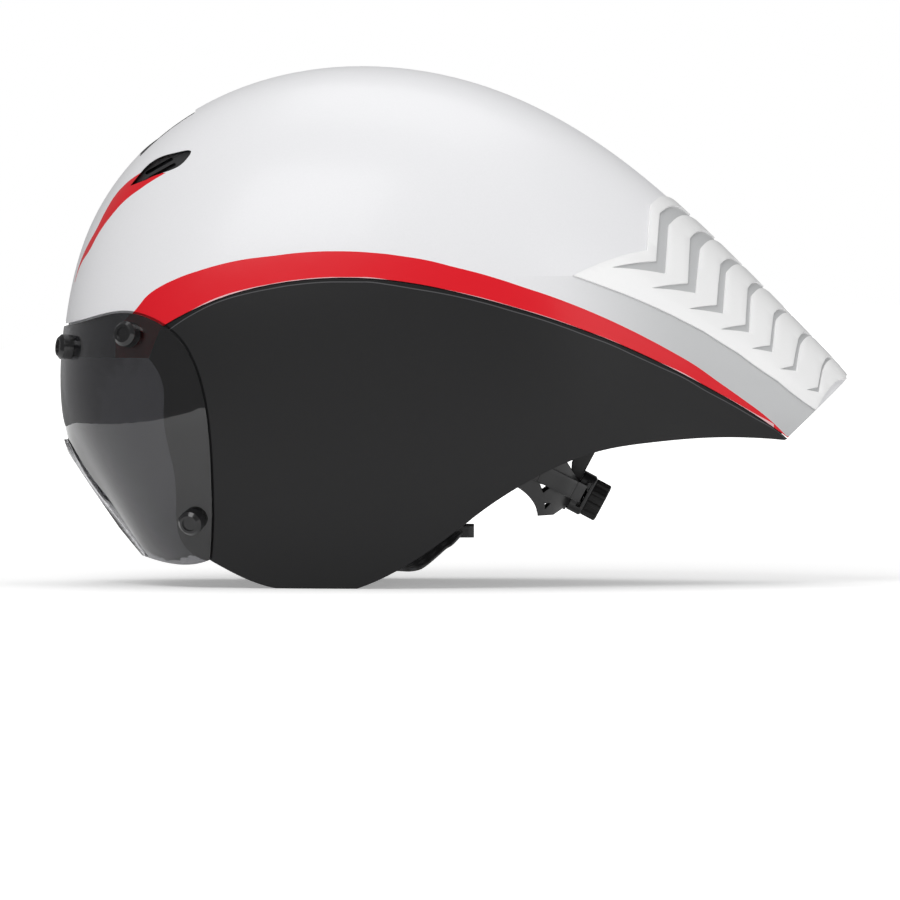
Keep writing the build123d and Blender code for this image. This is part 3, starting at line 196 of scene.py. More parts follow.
class HelmetSizes(bpy.types.PropertyGroup):
    """Sizes of the pieces that the scene adds."""
    panel_lift: FloatProperty(
        name="Panel height", description="How far the tail panel stands out of the shell", unit="LENGTH",
        default=0.0012, min=0)
    chevron_lift: FloatProperty(
        name="Chevron floor height",
        description="How far the floor of the chevrons stands out of the shell", unit="LENGTH",
        default=0.0003, min=0)
    camera_distance: FloatProperty(
        name="Camera distance", description="From the helmet's middle to the camera", unit="LENGTH",
        default=7.0, min=0)
    camera_elevation: FloatProperty(
        name="Camera elevation", description="Height of the view over level", subtype="ANGLE",
        default=math.radians(1.2))


def add_node(tree, kind, settings=None, **inputs):
    """Add a node, set its properties, and set or link its inputs: i0 is the first, others go by name."""
    node = tree.nodes.new(kind)
    for key, value in (settings or {}).items():
        setattr(node, key, value)
    for key, value in inputs.items():
        numbered = key[0] == "i" and key[1:].isdigit()
        socket = node.inputs[int(key[1:]) if numbered else key.replace("_", " ")]
        if isinstance(value, bpy.types.NodeSocket):
            tree.links.new(value, socket)
        else:
            socket.default_value = value
    return node


def new_material(name, **shader):
    """A material with its node tree and one Principled shader whose sockets are set by name."""
    material = bpy.data.materials.new(name)
    material.use_nodes = True
    tree = material.node_tree
    principled = tree.nodes["Principled BSDF"]
    for key, value in shader.items():
        principled.inputs[key.replace("_", " ")].default_value = value
    return material, tree, principled


def give_surface(tree, principled, height, depth, edge=0.0):
    """Put a relief of a real depth on the surface, and break its sharp edges by a small radius."""
    bump = add_node(tree, "ShaderNodeBump", Height=height, Distance=depth)
    if edge:
        worn = add_node(tree, "ShaderNodeBevel", {"samples": 4}, Radius=edge)
        tree.links.new(worn.outputs["Normal"], bump.inputs["Normal"])
    tree.links.new(bump.outputs["Normal"], principled.inputs["Normal"])


def painted_edge(tree, along, points):
    """Place of a masked paint edge across the helmet, from points of (along, across) in metres."""
    low, high = min(point[0] for point in points), max(point[0] for point in points)
    floor, ceiling = min(point[1] for point in points), max(point[1] for point in points)
    share = add_node(tree, "ShaderNodeMapRange", Value=along, From_Min=low, From_Max=high)
    curve = add_node(tree, "ShaderNodeFloatCurve", Value=share.outputs["Result"])
    ordered = sorted(((a - low) / (high - low), (b - floor) / (ceiling - floor)) for a, b in points)
    run = curve.mapping.curves[0]
    run.points[0].location = ordered[0]
    run.points[1].location = ordered[-1]
    for place in ordered[1:-1]:
        run.points.new(*place)
    curve.mapping.update()
    height = add_node(
        tree, "ShaderNodeMapRange", Value=curve.outputs["Value"], To_Min=floor, To_Max=ceiling)
    return height.outputs["Result"]


def painted_side(tree, operation, place, edge):
    """1 on one side of a masked paint edge."""
    return add_node(tree, "ShaderNodeMath", {"operation": operation}, i0=place, i1=edge).outputs["Value"]


def shell_paint(looks):
    """Painted ABS shell, sprayed pearl white with masked red stripes under a satin clear coat, with grey
    painted shade on the tail below the crease and a pale painted highlight along the seam: a smooth even
    skin with soft wide highlights and a trace of orange peel."""
    material, tree, principled = new_material(
        "painted_abs_pearl_white", Roughness=0.36, IOR=1.45, Specular_IOR_Level=0.3, Coat_Weight=0.1,
        Coat_Roughness=0.15)
    place = add_node(tree, "ShaderNodeTexCoord").outputs["Object"]
    split = add_node(tree, "ShaderNodeSeparateXYZ", Vector=place)
    x, z = split.outputs["X"], split.outputs["Z"]
    pearl = add_node(tree, "ShaderNodeTexNoise", Vector=place, Scale=PEARL_FLAKES, Detail=2.0)
    shade = [channel * PEARL_SHADE for channel in looks.shell_colour[:3]] + [1.0]
    white = add_node(
        tree, "ShaderNodeMix", {"data_type": "RGBA"}, i0=pearl.outputs["Fac"], i6=looks.shell_colour,
        i7=shade).outputs[2]

    # Painted shade: grey below the crease, fading in towards the tail, where the shell faces downwards
    crease = painted_edge(tree, x, [at_photo(*point) for point in CREASE])
    fade_start, fade_end = (at_photo(px, 0)[0] for px in CREASE_SHADE_FADE)
    fade = add_node(
        tree, "ShaderNodeMapRange", {"interpolation_type": "SMOOTHSTEP"}, Value=x, From_Min=fade_start,
        From_Max=fade_end).outputs["Result"]
    painted_shade_below_crease = add_node(
        tree, "ShaderNodeMath", {"operation": "MULTIPLY"}, i0=painted_side(tree, "LESS_THAN", z, crease),
        i1=fade).outputs["Value"]
    tail = add_node(
        tree, "ShaderNodeMix", {"data_type": "RGBA"}, i0=painted_shade_below_crease, i6=white,
        i7=looks.crease_shade_colour).outputs[2]

    stripe = [at_photo(*point) for point in STRIPE_TOP]
    under_top = painted_side(tree, "LESS_THAN", z, painted_edge(tree, x, stripe))
    behind_brow = painted_side(tree, "GREATER_THAN", x, stripe[0][0])
    along_side = add_node(
        tree, "ShaderNodeMath", {"operation": "MULTIPLY"}, i0=under_top, i1=behind_brow).outputs["Value"]
    limits = [painted_side(tree, "GREATER_THAN", z, at_photo(0, ACCENT_FOOT)[1]),
              painted_side(tree, "LESS_THAN", z, at_photo(0, ACCENT_TOP)[1])]
    for run, operation in ((ACCENT_RIGHT, "LESS_THAN"), (ACCENT_LEFT, "GREATER_THAN")):
        edge = painted_edge(tree, z, [at_photo(*point)[::-1] for point in run])
        limits.append(painted_side(tree, operation, x, edge))
    blade = limits[0]
    for limit in limits[1:]:
        blade = add_node(
            tree, "ShaderNodeMath", {"operation": "MULTIPLY"}, i0=blade, i1=limit).outputs["Value"]
    red = add_node(tree, "ShaderNodeMath", {"operation": "MAXIMUM"}, i0=along_side, i1=blade)
    striped = add_node(
        tree, "ShaderNodeMix", {"data_type": "RGBA"}, i0=red.outputs["Value"], i6=tail,
        i7=looks.stripe_colour).outputs[2]

    seam = painted_edge(tree, x, [at_photo(*point) for point in SEAM])
    # Painted highlight: a pale line just above the seam, for light on the shell's rounded lower edge
    seam_highlight_top = add_node(tree, "ShaderNodeMath", {"operation": "ADD"}, i0=seam, i1=SEAM_HIGHLIGHT_WIDTH)
    seam_highlight = painted_side(tree, "LESS_THAN", z, seam_highlight_top.outputs["Value"])
    for limit in (painted_side(tree, "GREATER_THAN", x, at_photo(*SEAM[0])[0]),
                  painted_side(tree, "LESS_THAN", x, at_photo(SEAM_HIGHLIGHT_END, 0)[0])):
        seam_highlight = add_node(
            tree, "ShaderNodeMath", {"operation": "MULTIPLY"}, i0=seam_highlight, i1=limit).outputs["Value"]
    colour = add_node(
        tree, "ShaderNodeMix", {"data_type": "RGBA"}, i0=seam_highlight, i6=striped,
        i7=srgb(SEAM_HIGHLIGHT_COLOUR)).outputs[2]
    tree.links.new(colour, principled.inputs["Base Color"])
    peel = add_node(tree, "ShaderNodeTexNoise", Vector=place, Scale=ORANGE_PEEL, Detail=2.0)
    give_surface(tree, principled, peel.outputs["Fac"], depth=0.00002, edge=0.0004)
    return material


def cover_moulding(looks):
    """Injection moulded ABS with a fine spark-eroded texture: deep satin black with a broad weak
    highlight, and along the stripe a painted highlight as a paler band on the edge's round and painted
    shade as a darker band in the joint."""
    material, tree, principled = new_material(
        "moulded_abs_satin_black", IOR=1.45, Specular_IOR_Level=0.3)
    place = add_node(tree, "ShaderNodeTexCoord").outputs["Object"]
    split = add_node(tree, "ShaderNodeSeparateXYZ", Vector=place)
    seam = painted_edge(tree, split.outputs["X"], [at_photo(*point) for point in SEAM])
    colour = looks.cover_colour
    # Painted light along the seam: a paler band as a highlight on the edge's round, then a dark band as
    # shade in the joint
    for reach, shade in SEAM_SHADE_AND_HIGHLIGHT:
        edge = add_node(tree, "ShaderNodeMath", {"operation": "SUBTRACT"}, i0=seam, i1=reach)
        painted_light_band = painted_side(tree, "GREATER_THAN", split.outputs["Z"], edge.outputs["Value"])
        colour = add_node(
            tree, "ShaderNodeMix", {"data_type": "RGBA"}, i0=painted_light_band, i6=colour,
            i7=srgb(shade)).outputs[2]
    tree.links.new(colour, principled.inputs["Base Color"])
    grain = add_node(
        tree, "ShaderNodeTexNoise", Vector=place, Scale=SPARK_GRAIN, Detail=4.0).outputs["Fac"]
    gloss = add_node(tree, "ShaderNodeMapRange", Value=grain, To_Min=0.4, To_Max=0.56)
    tree.links.new(gloss.outputs["Result"], principled.inputs["Roughness"])
    give_surface(tree, principled, grain, depth=0.00003, edge=0.0007)
    return material


def lens_polycarbonate(looks):
    """Smoke tinted polycarbonate, injection moulded and hard coated: a dark clear depth with sharp
    reflections."""
    material, tree, principled = new_material(
        "tinted_polycarbonate", IOR=1.58, Transmission_Weight=1.0, Base_Color=looks.lens_colour)
    place = add_node(tree, "ShaderNodeTexCoord").outputs["Object"]
    smears = add_node(
        tree, "ShaderNodeTexNoise", Vector=place, Scale=LENS_SMEARS, Detail=3.0).outputs["Fac"]
    gloss = add_node(tree, "ShaderNodeMapRange", Value=smears, To_Min=0.01, To_Max=0.03)
    tree.links.new(gloss.outputs["Result"], principled.inputs["Roughness"])
    return material


def trim_elastomer():
    """Clear soft elastomer pushed over the edge of the visor: it passes light and is a little cloudy."""
    material, tree, principled = new_material(
        "clear_elastomer", IOR=1.4, Transmission_Weight=1.0, Base_Color=srgb("D9D9DB"))
    place = add_node(tree, "ShaderNodeTexCoord").outputs["Object"]
    cloud = add_node(
        tree, "ShaderNodeTexNoise", Vector=place, Scale=TRIM_CLOUD, Detail=3.0).outputs["Fac"]
    gloss = add_node(tree, "ShaderNodeMapRange", Value=cloud, To_Min=0.15, To_Max=0.25)
    tree.links.new(gloss.outputs["Result"], principled.inputs["Roughness"])
    return material


def small_moulding(name, colour, roughness, grain_mm=0.6, depth=0.00002, edge=0.0003, **shader):
    """A small moulded part: an even colour broken by a fine grain in its gloss and its surface."""
    material, tree, principled = new_material(name, Base_Color=colour, **shader)
    place = add_node(tree, "ShaderNodeTexCoord").outputs["Object"]
    grain = add_node(
        tree, "ShaderNodeTexNoise", Vector=place, Scale=1 / (grain_mm * MM), Detail=3.0).outputs["Fac"]
    gloss = add_node(
        tree, "ShaderNodeMapRange", Value=grain, To_Min=roughness * (1 - MOULDING_SPREAD),
        To_Max=roughness * (1 + MOULDING_SPREAD))
    tree.links.new(gloss.outputs["Result"], principled.inputs["Roughness"])
    give_surface(tree, principled, grain, depth=depth, edge=edge)
    return material


def bead_foam():
    """Moulded expanded polystyrene, black: fused round beads 3 mm across, each slightly domed, dull."""
    material, tree, principled = new_material("expanded_polystyrene_black", Roughness=0.75)
    place = add_node(tree, "ShaderNodeTexCoord").outputs["Object"]
    beads = add_node(
        tree, "ShaderNodeTexVoronoi", {"feature": "F1"}, Vector=place,
        Scale=FOAM_BEADS).outputs["Distance"]
    colour = add_node(
        tree, "ShaderNodeMix", {"data_type": "RGBA"}, i0=beads, i6=srgb("3A3A3B"), i7=srgb("171718"))
    tree.links.new(colour.outputs[2], principled.inputs["Base Color"])
    dome = add_node(tree, "ShaderNodeMath", {"operation": "SUBTRACT"}, i0=1.0, i1=beads).outputs["Value"]
    give_surface(tree, principled, dome, depth=0.0003)
    return material


def woven(name, coordinates, runs, low, high, depth, **shader):
    """A fabric with lines in two ways, each way with its own spacing in millimetres."""
    material, tree, principled = new_material(name, **shader)
    place = add_node(tree, "ShaderNodeTexCoord").outputs[coordinates]
    ribs = [
        add_node(tree, "ShaderNodeTexWave", {"wave_type": "BANDS", "bands_direction": way}, Vector=place,
                 Scale=WAVE_SPACING[way] / (spacing * MM), Distortion=0.8, Detail=2.0).outputs["Fac"]
        for way, spacing in runs]
    crossed = add_node(tree, "ShaderNodeMath", {"operation": "MULTIPLY"}, i0=ribs[0], i1=ribs[1])
    weave = crossed.outputs["Value"]
    shade = add_node(
        tree, "ShaderNodeMix", {"data_type": "RGBA"}, i0=weave, i6=srgb(low), i7=srgb(high)).outputs[2]
    tree.links.new(shade, principled.inputs["Base Color"])
    give_surface(tree, principled, weave, depth=depth)
    return material


def knit_fabric():
    """Warp knitted polyester mesh over soft foam: meshes 3.2 by 2.4 mm, matt, with a faint sheen at the
    edge."""
    return woven(
        "knitted_polyester_black", "Object", (("X", 3.158), ("Z", 2.369)), low="1B1B1D", high="3A3A3D",
        depth=0.0003, Roughness=0.85, Sheen_Weight=0.35, Sheen_Roughness=0.4)


def webbing_fabric():
    """Woven polypropylene webbing: ribs that run along it 2.2 mm apart, crossed by twill lines 6.1 mm
    apart, with a low sheen."""
    return woven(
        "woven_polypropylene_black", "UV", (("DIAGONAL", 6.141), ("X", 2.171)), low="141415",
        high="353537", depth=0.0003, Roughness=0.6, Sheen_Weight=0.2)


def bright_metal(name, colour, roughness):
    """Nickel plated or turned metal: bright grey with fine rubbed marks."""
    material, tree, principled = new_material(name, Base_Color=colour, Metallic=1.0)
    place = add_node(tree, "ShaderNodeTexCoord").outputs["Object"]
    rub = add_node(tree, "ShaderNodeTexNoise", Vector=place, Scale=RUBBED_MARKS, Detail=4.0)
    gloss = add_node(
        tree, "ShaderNodeMapRange", Value=rub.outputs["Fac"], To_Min=roughness * (1 - RUBBED_SPREAD),
        To_Max=roughness * (1 + RUBBED_SPREAD))
    tree.links.new(gloss.outputs["Result"], principled.inputs["Roughness"])
    return material


def give(material, *names):
    """Give a material to CAD nodes, in every slot that they have."""
    for name in names:
        mesh = NODES[name].data
        if not mesh.materials:
            mesh.materials.append(material)
        for index in range(len(mesh.materials)):
            mesh.materials[index] = material


class HELMET_OT_finishes(bpy.types.Operator):
    """Give every CAD node the finish of its real material"""
    bl_idname = "helmet.finishes"
    bl_label = "Finishes"

    def execute(self, context):
        looks = context.scene.helmet_looks
        give(shell_paint(looks), "upper_shell")
        give(cover_moulding(looks), "left_side_cover", "right_side_cover", "tail_underpan",
             "tail_vent_grille")
        give(lens_polycarbonate(looks), "visor_lens")
        give(small_moulding("moulded_nylon_gloss_black", srgb("1C1C1D"), 0.2), "visor_studs")
        give(small_moulding("moulded_rubber_black", srgb("161616"), 0.62), "dial")
        give(trim_elastomer(), "nose_trim")
        give(small_moulding("moulded_abs_matt_black", srgb("2A2A2B"), 0.5), "left_vent_insert",
             "right_vent_insert", "centre_scoop")
        give(small_moulding("moulded_nylon_black", srgb("1A1A1B"), 0.32), "cradle", "dial_housing_lid",
             "dial_pinion", "left_rack", "right_rack", "hanger", "hanger_bracket", "left_belt",
             "right_belt", "belt_anchors", "strap_anchors", "left_strap_divider", "right_strap_divider",
             "buckle_socket", "buckle_slider")
        give(bright_metal("nickel_plated_magnet", srgb("C4C4C6"), 0.25), "visor_magnets",
             "receiver_magnets")
        give(bright_metal("turned_steel", srgb("B9B9BB"), 0.3), "hanger_pin")
        give(bead_foam(), "liner", "tail_core")
        return {"FINISHED"}


# Vertices nearer than this are one
WELD = 0.00002

# Edges sharper than this are rounded on thin plates and bands
SHARP_ANGLE = math.radians(50)

# Long axis that the tail's graphics are laid out round: its height at one place along the helmet, and
# how much it drops per metre behind it
AXIS_PLACE = 0.09
AXIS_HEIGHT = 0.110
AXIS_DROP = 0.25

# A distance that is well outside the helmet, and how far from the long axis a point of a plate lies
# where the shell has an opening
OUTSIDE = 0.3
OPENING_REACH = 0.05

# Spacing of a plate's points along the tail and round it, and along its outline, where a metre of
# length counts as so many radians
PLATE_STEP = 0.004
PLATE_TURN = math.radians(4)
OUTLINE_TURN = 0.05
TURNS_PER_METRE = 12

# Points this near to the ridge lie on it
RIDGE_TURN = 0.001

# How far the plates reach into the shell, and the round of their edges as a share of their height
PLATE_SINK = 0.0006
PLATE_EDGE = 0.3

# How far the floor of the chevrons stays inside the crease, in pixels
FLOOR_INSET = (8, 3)


def skin_tree(names):
    """A search tree of the outer skin of some CAD nodes."""
    joined = bmesh.new()
    for name in names:
        joined.from_mesh(NODES[name].data)
    bmesh.ops.remove_doubles(joined, verts=joined.verts, dist=WELD)
    tree = BVHTree.FromBMesh(joined)
    joined.free()
    return tree


def skin_angle(tree, x, z, axis_z):
    """The angle round the helmet's long axis at which its left side shows a side view point."""
    hit = tree.ray_cast(Vector((x, -OUTSIDE, z)), Vector((0, 1, 0)))
    if hit[0] is None:
        return 0.0
    return math.atan2(-hit[0].y, hit[0].z - axis_z)


def axis_height(x):
    """Height of the long axis that the tail's graphics are laid out round."""
    return AXIS_HEIGHT - AXIS_DROP * (x - AXIS_PLACE)


def surface_point(tree, x, angle):
    """The skin's point and normal at a place along the long axis and an angle round it."""
    middle = Vector((x, 0, axis_height(x)))
    outwards = Vector((0, -math.sin(angle), math.cos(angle)))
    hit = tree.ray_cast(middle + outwards * OUTSIDE, -outwards)
    if hit[0] is None:
        return middle + outwards * OPENING_REACH, outwards
    normal = hit[1] if hit[1].dot(outwards) > 0 else -hit[1]
    return hit[0], normal


def unrolled(tree, corners):
    """Corners of a side view outline as places along the helmet and angles round it; None lies on the
    ridge."""
    places = []
    for px, py in corners:
        x, z = at_photo(px, py or 0)
        places.append((x, 0.0 if py is None else skin_angle(tree, x, z, axis_height(x))))
    return places


def plate_on_skin(name, corners, tree, lift, material):
    """A thin plate that follows the skin on both sides of the helmet, from its side view outline."""
    places = unrolled(tree, corners)
    mesh = bmesh.new()
    verts = []
    for index, (x, angle) in enumerate(places):
        ahead = places[(index + 1) % len(places)]
        length = math.dist((x * TURNS_PER_METRE, angle), (ahead[0] * TURNS_PER_METRE, ahead[1]))
        steps = max(1, int(length / OUTLINE_TURN))
        for step in range(steps):
            share = step / steps
            place = (x + (ahead[0] - x) * share, angle + (ahead[1] - angle) * share, 0)
            verts.append(bmesh.ops.create_vert(mesh, co=place)["vert"][0])
    edges = [mesh.edges.new((verts[index - 1], vert)) for index, vert in enumerate(verts)]
    bmesh.ops.triangle_fill(mesh, edges=edges, use_beauty=True)
    for axis, values, step in ((Vector((1, 0, 0)), [place[0] for place in places], PLATE_STEP),
                               (Vector((0, 1, 0)), [place[1] for place in places], PLATE_TURN)):
        low, high = min(values), max(values)
        count = int((high - low) / step)
        for index in range(1, count + 1):
            bmesh.ops.bisect_plane(
                mesh, geom=mesh.verts[:] + mesh.edges[:] + mesh.faces[:],
                plane_co=axis * (low + (high - low) * index / (count + 1)), plane_no=axis)
    for vert in mesh.verts:
        on_ridge = vert.co.y < RIDGE_TURN
        point, normal = surface_point(tree, vert.co.x, vert.co.y)
        vert.co = point + normal * lift
        if on_ridge:
            vert.co.y = 0.0
    bmesh.ops.recalc_face_normals(mesh, faces=mesh.faces)
    if sum(face.normal.z + face.normal.x - 2 * face.normal.y for face in mesh.faces) < 0:
        bmesh.ops.reverse_faces(mesh, faces=mesh.faces)
    far = bmesh.ops.duplicate(mesh, geom=mesh.verts[:] + mesh.edges[:] + mesh.faces[:])["geom"]
    far_verts = [item for item in far if isinstance(item, bmesh.types.BMVert)]
    bmesh.ops.scale(mesh, vec=(1, -1, 1), verts=far_verts)
    bmesh.ops.reverse_faces(mesh, faces=[item for item in far if isinstance(item, bmesh.types.BMFace)])
    bmesh.ops.remove_doubles(mesh, verts=mesh.verts, dist=WELD)
    for face in mesh.faces:
        face.smooth = True
    data = bpy.data.meshes.new(name)
    mesh.to_mesh(data)
    mesh.free()
    data.materials.append(material)
    piece = bpy.data.objects.new(name, data)
    bpy.context.scene.collection.objects.link(piece)
    thick = piece.modifiers.new("thickness", "SOLIDIFY")
    thick.thickness = lift + PLATE_SINK
    thick.offset = -1
    edge = piece.modifiers.new("soft edge", "BEVEL")
    edge.width = lift * PLATE_EDGE
    edge.segments = 2
    edge.limit_method = "ANGLE"
    edge.angle_limit = SHARP_ANGLE
    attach(piece, "helmet")


class HELMET_OT_tail_graphics(bpy.types.Operator):
    """Add the raised white panel on the tail and the floor of the chevrons cut into it"""
    bl_idname = "helmet.tail_graphics"
    bl_label = "Tail graphics"

    def execute(self, context):
        looks = context.scene.helmet_looks
        sizes = context.scene.helmet_sizes
        tree = skin_tree(["upper_shell"])
        white = small_moulding(
            "painted_abs_white", looks.panel_colour, roughness=0.3, grain_mm=1.0, depth=0.00001,
            edge=0.0003, Coat_Weight=0.3)
        silver = small_moulding(
            "painted_abs_silver_grey", looks.chevron_colour, roughness=0.35, grain_mm=1.0, depth=0.00001,
            edge=0.0, Coat_Weight=0.2)
        notched_ridge = [corner for chevron in reversed(CHEVRONS) for corner in chevron]
        plate_on_skin(
            "tail_panel", PANEL_FRONT + CREASE + PANEL_REAR + notched_ridge, tree, sizes.panel_lift,
            white)
        inner_crease = [(px + FLOOR_INSET[0], py - FLOOR_INSET[1]) for px, py in CREASE[1:-1]]
        plate_on_skin(
            "tail_chevron_floor", FLOOR_FRONT + inner_crease + FLOOR_REAR, tree, sizes.chevron_lift,
            silver)
        return {"FINISHED"}


# Columns of faces across a band, and the round of its edges as a share of its thickness
BAND_COLUMNS = 4
BAND_EDGE = 0.35


def smooth_path(points, steps):
    """Places along a smooth line through points, with the points themselves among them."""
    places = []
    count = len(points)
    for index in range(count - 1):
        before = points[max(index - 1, 0)]
        start, end = points[index], points[index + 1]
        after = points[min(index + 2, count - 1)]
        for step in range(steps):
            t = step / steps
            places.append(
                0.5 * (2 * start + (end - before) * t
                       + (2 * before - 5 * start + 4 * end - after) * t * t
                       + (3 * start - before - 3 * end + after) * t * t * t))
    places.append(points[-1].copy())
    return places


def ribbon(name, places, across_at, width, thickness, material):
    """A flat woven or moulded band along places; across_at gives the way its width runs at a share."""
    last = len(places) - 1
    lengths = [0.0]
    for index in range(last):
        lengths.append(lengths[-1] + (places[index + 1] - places[index]).length)
    mesh = bmesh.new()
    uv_layer = mesh.loops.layers.uv.new("UVMap")
    bmesh.ops.create_grid(mesh, x_segments=BAND_COLUMNS, y_segments=last, size=0.5)
    flat_places = {}
    for vert in mesh.verts:
        side = vert.co.x * width
        index = round((vert.co.y + 0.5) * last)
        run = (places[min(index + 1, last)] - places[max(index - 1, 0)]).normalized()
        across = across_at(index / last)
        across = (across - run * across.dot(run)).normalized()
        vert.co = places[index] + across * side
        flat_places[vert] = (side, lengths[index])
    for face in mesh.faces:
        for loop in face.loops:
            loop[uv_layer].uv = flat_places[loop.vert]
        face.smooth = True
    data = bpy.data.meshes.new(name)
    mesh.to_mesh(data)
    mesh.free()
    data.materials.append(material)
    piece = bpy.data.objects.new(name, data)
    bpy.context.scene.collection.objects.link(piece)
    thick = piece.modifiers.new("thickness", "SOLIDIFY")
    thick.thickness = thickness
    thick.offset = 0
    edge = piece.modifiers.new("rounded edges", "BEVEL")
    edge.width = thickness * BAND_EDGE
    edge.segments = 2
    edge.limit_method = "ANGLE"
    edge.angle_limit = SHARP_ANGLE
    return piece


def finished(piece):
    """Apply a piece's modifiers, so that its mesh is final."""
    bpy.context.view_layer.update()
    depsgraph = bpy.context.evaluated_depsgraph_get()
    data = bpy.data.meshes.new_from_object(piece.evaluated_get(depsgraph))
    piece.modifiers.clear()
    piece.data = data


# Routes of the webbing on the wearer's right, in millimetres, from the anchors to the divider and from
# the divider to the buckle
FRONT_STRAP = [(-84.0, 74.7, 56.0), (-74.0, 72.0, 38.0), (-52.0, 60.0, 26.0), (-44.0, 59.5, 21.5)]
REAR_STRAP = [(2.0, 69.4, 60.0), (8.0, 66.6, 43.0), (-14.0, 60.0, 26.0), (-22.0, 59.5, 21.5)]
CHIN_STRAP = [
    (-33.0, 59.5, 18.0), (-33.0, 59.5, 12.5), (-31.0, 55.0, 8.5), (-22.0, 42.0, 10.5),
    (-9.0, 28.5, 21.0), (-2.9, 23.5, 25.0), (-2.9, 17.0, 25.5),
]

ROUTES = (("front", FRONT_STRAP), ("rear", REAR_STRAP), ("chin", CHIN_STRAP))

# The webbing's size in metres, and the places along it for each point of its route
STRAP_WIDTH = 0.0155
STRAP_THICKNESS = 0.0015
STRAP_STEPS = 8

# The head cavity, an ellipse in millimetres whose wall the webbing lies flat on at its anchors, and how
# fast it turns to face sideways from there: 1 takes the whole strap
CAVITY_MIDDLE = -50.0
CAVITY_LENGTH = 224.0
CAVITY_WIDTH = 160.0
STRAP_TURN = 1.6


def mirrored(points, side):
    """Points of the wearer's right side in metres, or their mirror on the left for side -1."""
    return [Vector((x, y * side, z)) * MM for x, y, z in points]


class HELMET_OT_straps(bpy.types.Operator):
    """Replace the strap solids with woven webbing"""
    bl_idname = "helmet.straps"
    bl_label = "Straps"

    def execute(self, context):
        webbing = webbing_fabric()
        for side_name, side in (("left", -1), ("right", 1)):
            for strap_name, route in ROUTES:
                points = mirrored(route, side)
                places = smooth_path(points, STRAP_STEPS)

                def across_at(share, points=points, strap_name=strap_name, side=side):
                    if strap_name == "chin":
                        return Vector((1, 0, 0))
                    start = points[0]
                    wall = Vector(((start.x - CAVITY_MIDDLE * MM) / CAVITY_LENGTH ** 2,
                                   start.y / CAVITY_WIDTH ** 2, 0)).normalized()
                    facing = wall.lerp(Vector((0, side, 0)), min(share * STRAP_TURN, 1.0))
                    index = min(int(share * (len(points) - 1)), len(points) - 2)
                    return (points[index + 1] - points[index]).cross(facing)

                name = f"{side_name}_{strap_name}_webbing"
                piece = ribbon(
                    name, places, across_at, STRAP_WIDTH, STRAP_THICKNESS, webbing)
                if (side_name, strap_name) == ("right", "chin"):
                    finished(piece)
                    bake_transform(piece)
                else:
                    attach(piece, "helmet")
                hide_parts(f"{side_name}_{strap_name}_strap")
        return {"FINISHED"}


# The cradle's seat behind the head, the way out of its tilted band and the way up it, and its radius
TILT = math.radians(28.0)
OUTWARDS = Vector((math.cos(TILT), 0, -math.sin(TILT)))
UPWARDS = Vector((math.sin(TILT), 0, math.cos(TILT)))
CRADLE_SEAT = Vector((61.5, 0, 44.2)) * MM
CRADLE_RADIUS = 70.0

# Route of a belt in millimetres from the middle of the cradle's round: how far back, and how far out
BELT = [
    (71.3, 24.6), (66.0, 32.0), (58.3, 41.8), (38.4, 59.3), (2.0, 67.5), (-55.0, 77.5), (-106.0, 67.5),
]

# The belts' size in metres, and the places along them for each point of the route
BELT_WIDTH = 0.009
BELT_THICKNESS = 0.0012
BELT_STEPS = 10

# Runs of a belt from the rack to the brow: the first place, the place from which the run moves with the
# body in front alone, the last place, and the bodies in front and behind
BELT_RUNS = (
    ("rear", 1, 10, 10, ("cradle", "{side}_rack")),
    ("middle", 10, 26, 26, ("hanger", "cradle")),
    ("front", 26, 38, 60, ("helmet", "hanger")),
)


class HELMET_OT_belts(bpy.types.Operator):
    """Replace the belt solids with moulded belts, each in three runs"""
    bl_idname = "helmet.belts"
    bl_label = "Belts"

    def execute(self, context):
        nylon = small_moulding("moulded_nylon_belt", srgb("19191A"), 0.4)
        middle = CRADLE_SEAT - OUTWARDS * CRADLE_RADIUS * MM
        for side_name, side in (("left", -1), ("right", 1)):
            points = [
                middle + OUTWARDS * reach * MM + Vector((0, side * out * MM, 0)) for reach, out in BELT]
            places = smooth_path(points, BELT_STEPS)
            for part_name, first, still, last, carriers in BELT_RUNS:
                piece = ribbon(
                    f"{side_name}_belt_{part_name}", places[first:last + 1], lambda share: UPWARDS,
                    BELT_WIDTH, BELT_THICKNESS, nylon)
                finished(piece)
                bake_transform(piece)
                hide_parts(f"{side_name}_belt")
        return {"FINISHED"}


# Pads, and the body that each one rides on
PADS = (
    ("brow_pad", "helmet"), ("crown_pads", "helmet"), ("left_side_pad", "helmet"),
    ("right_side_pad", "helmet"), ("left_ear_pad", "helmet"), ("right_ear_pad", "helmet"),
    ("cradle_pads", "cradle"),
)

# Mesh of the pads, how far their form is drawn in before they are stuffed, and how often it is smoothed
PAD_VOXEL = 0.0022
PAD_DRAW = 0.0005
PAD_SMOOTHINGS = 3

# Pressure of the stuffing, and the frames that it works for; it moves a point by twice the draw at most
PAD_PRESSURE = 4.0
PAD_FRAMES = 15


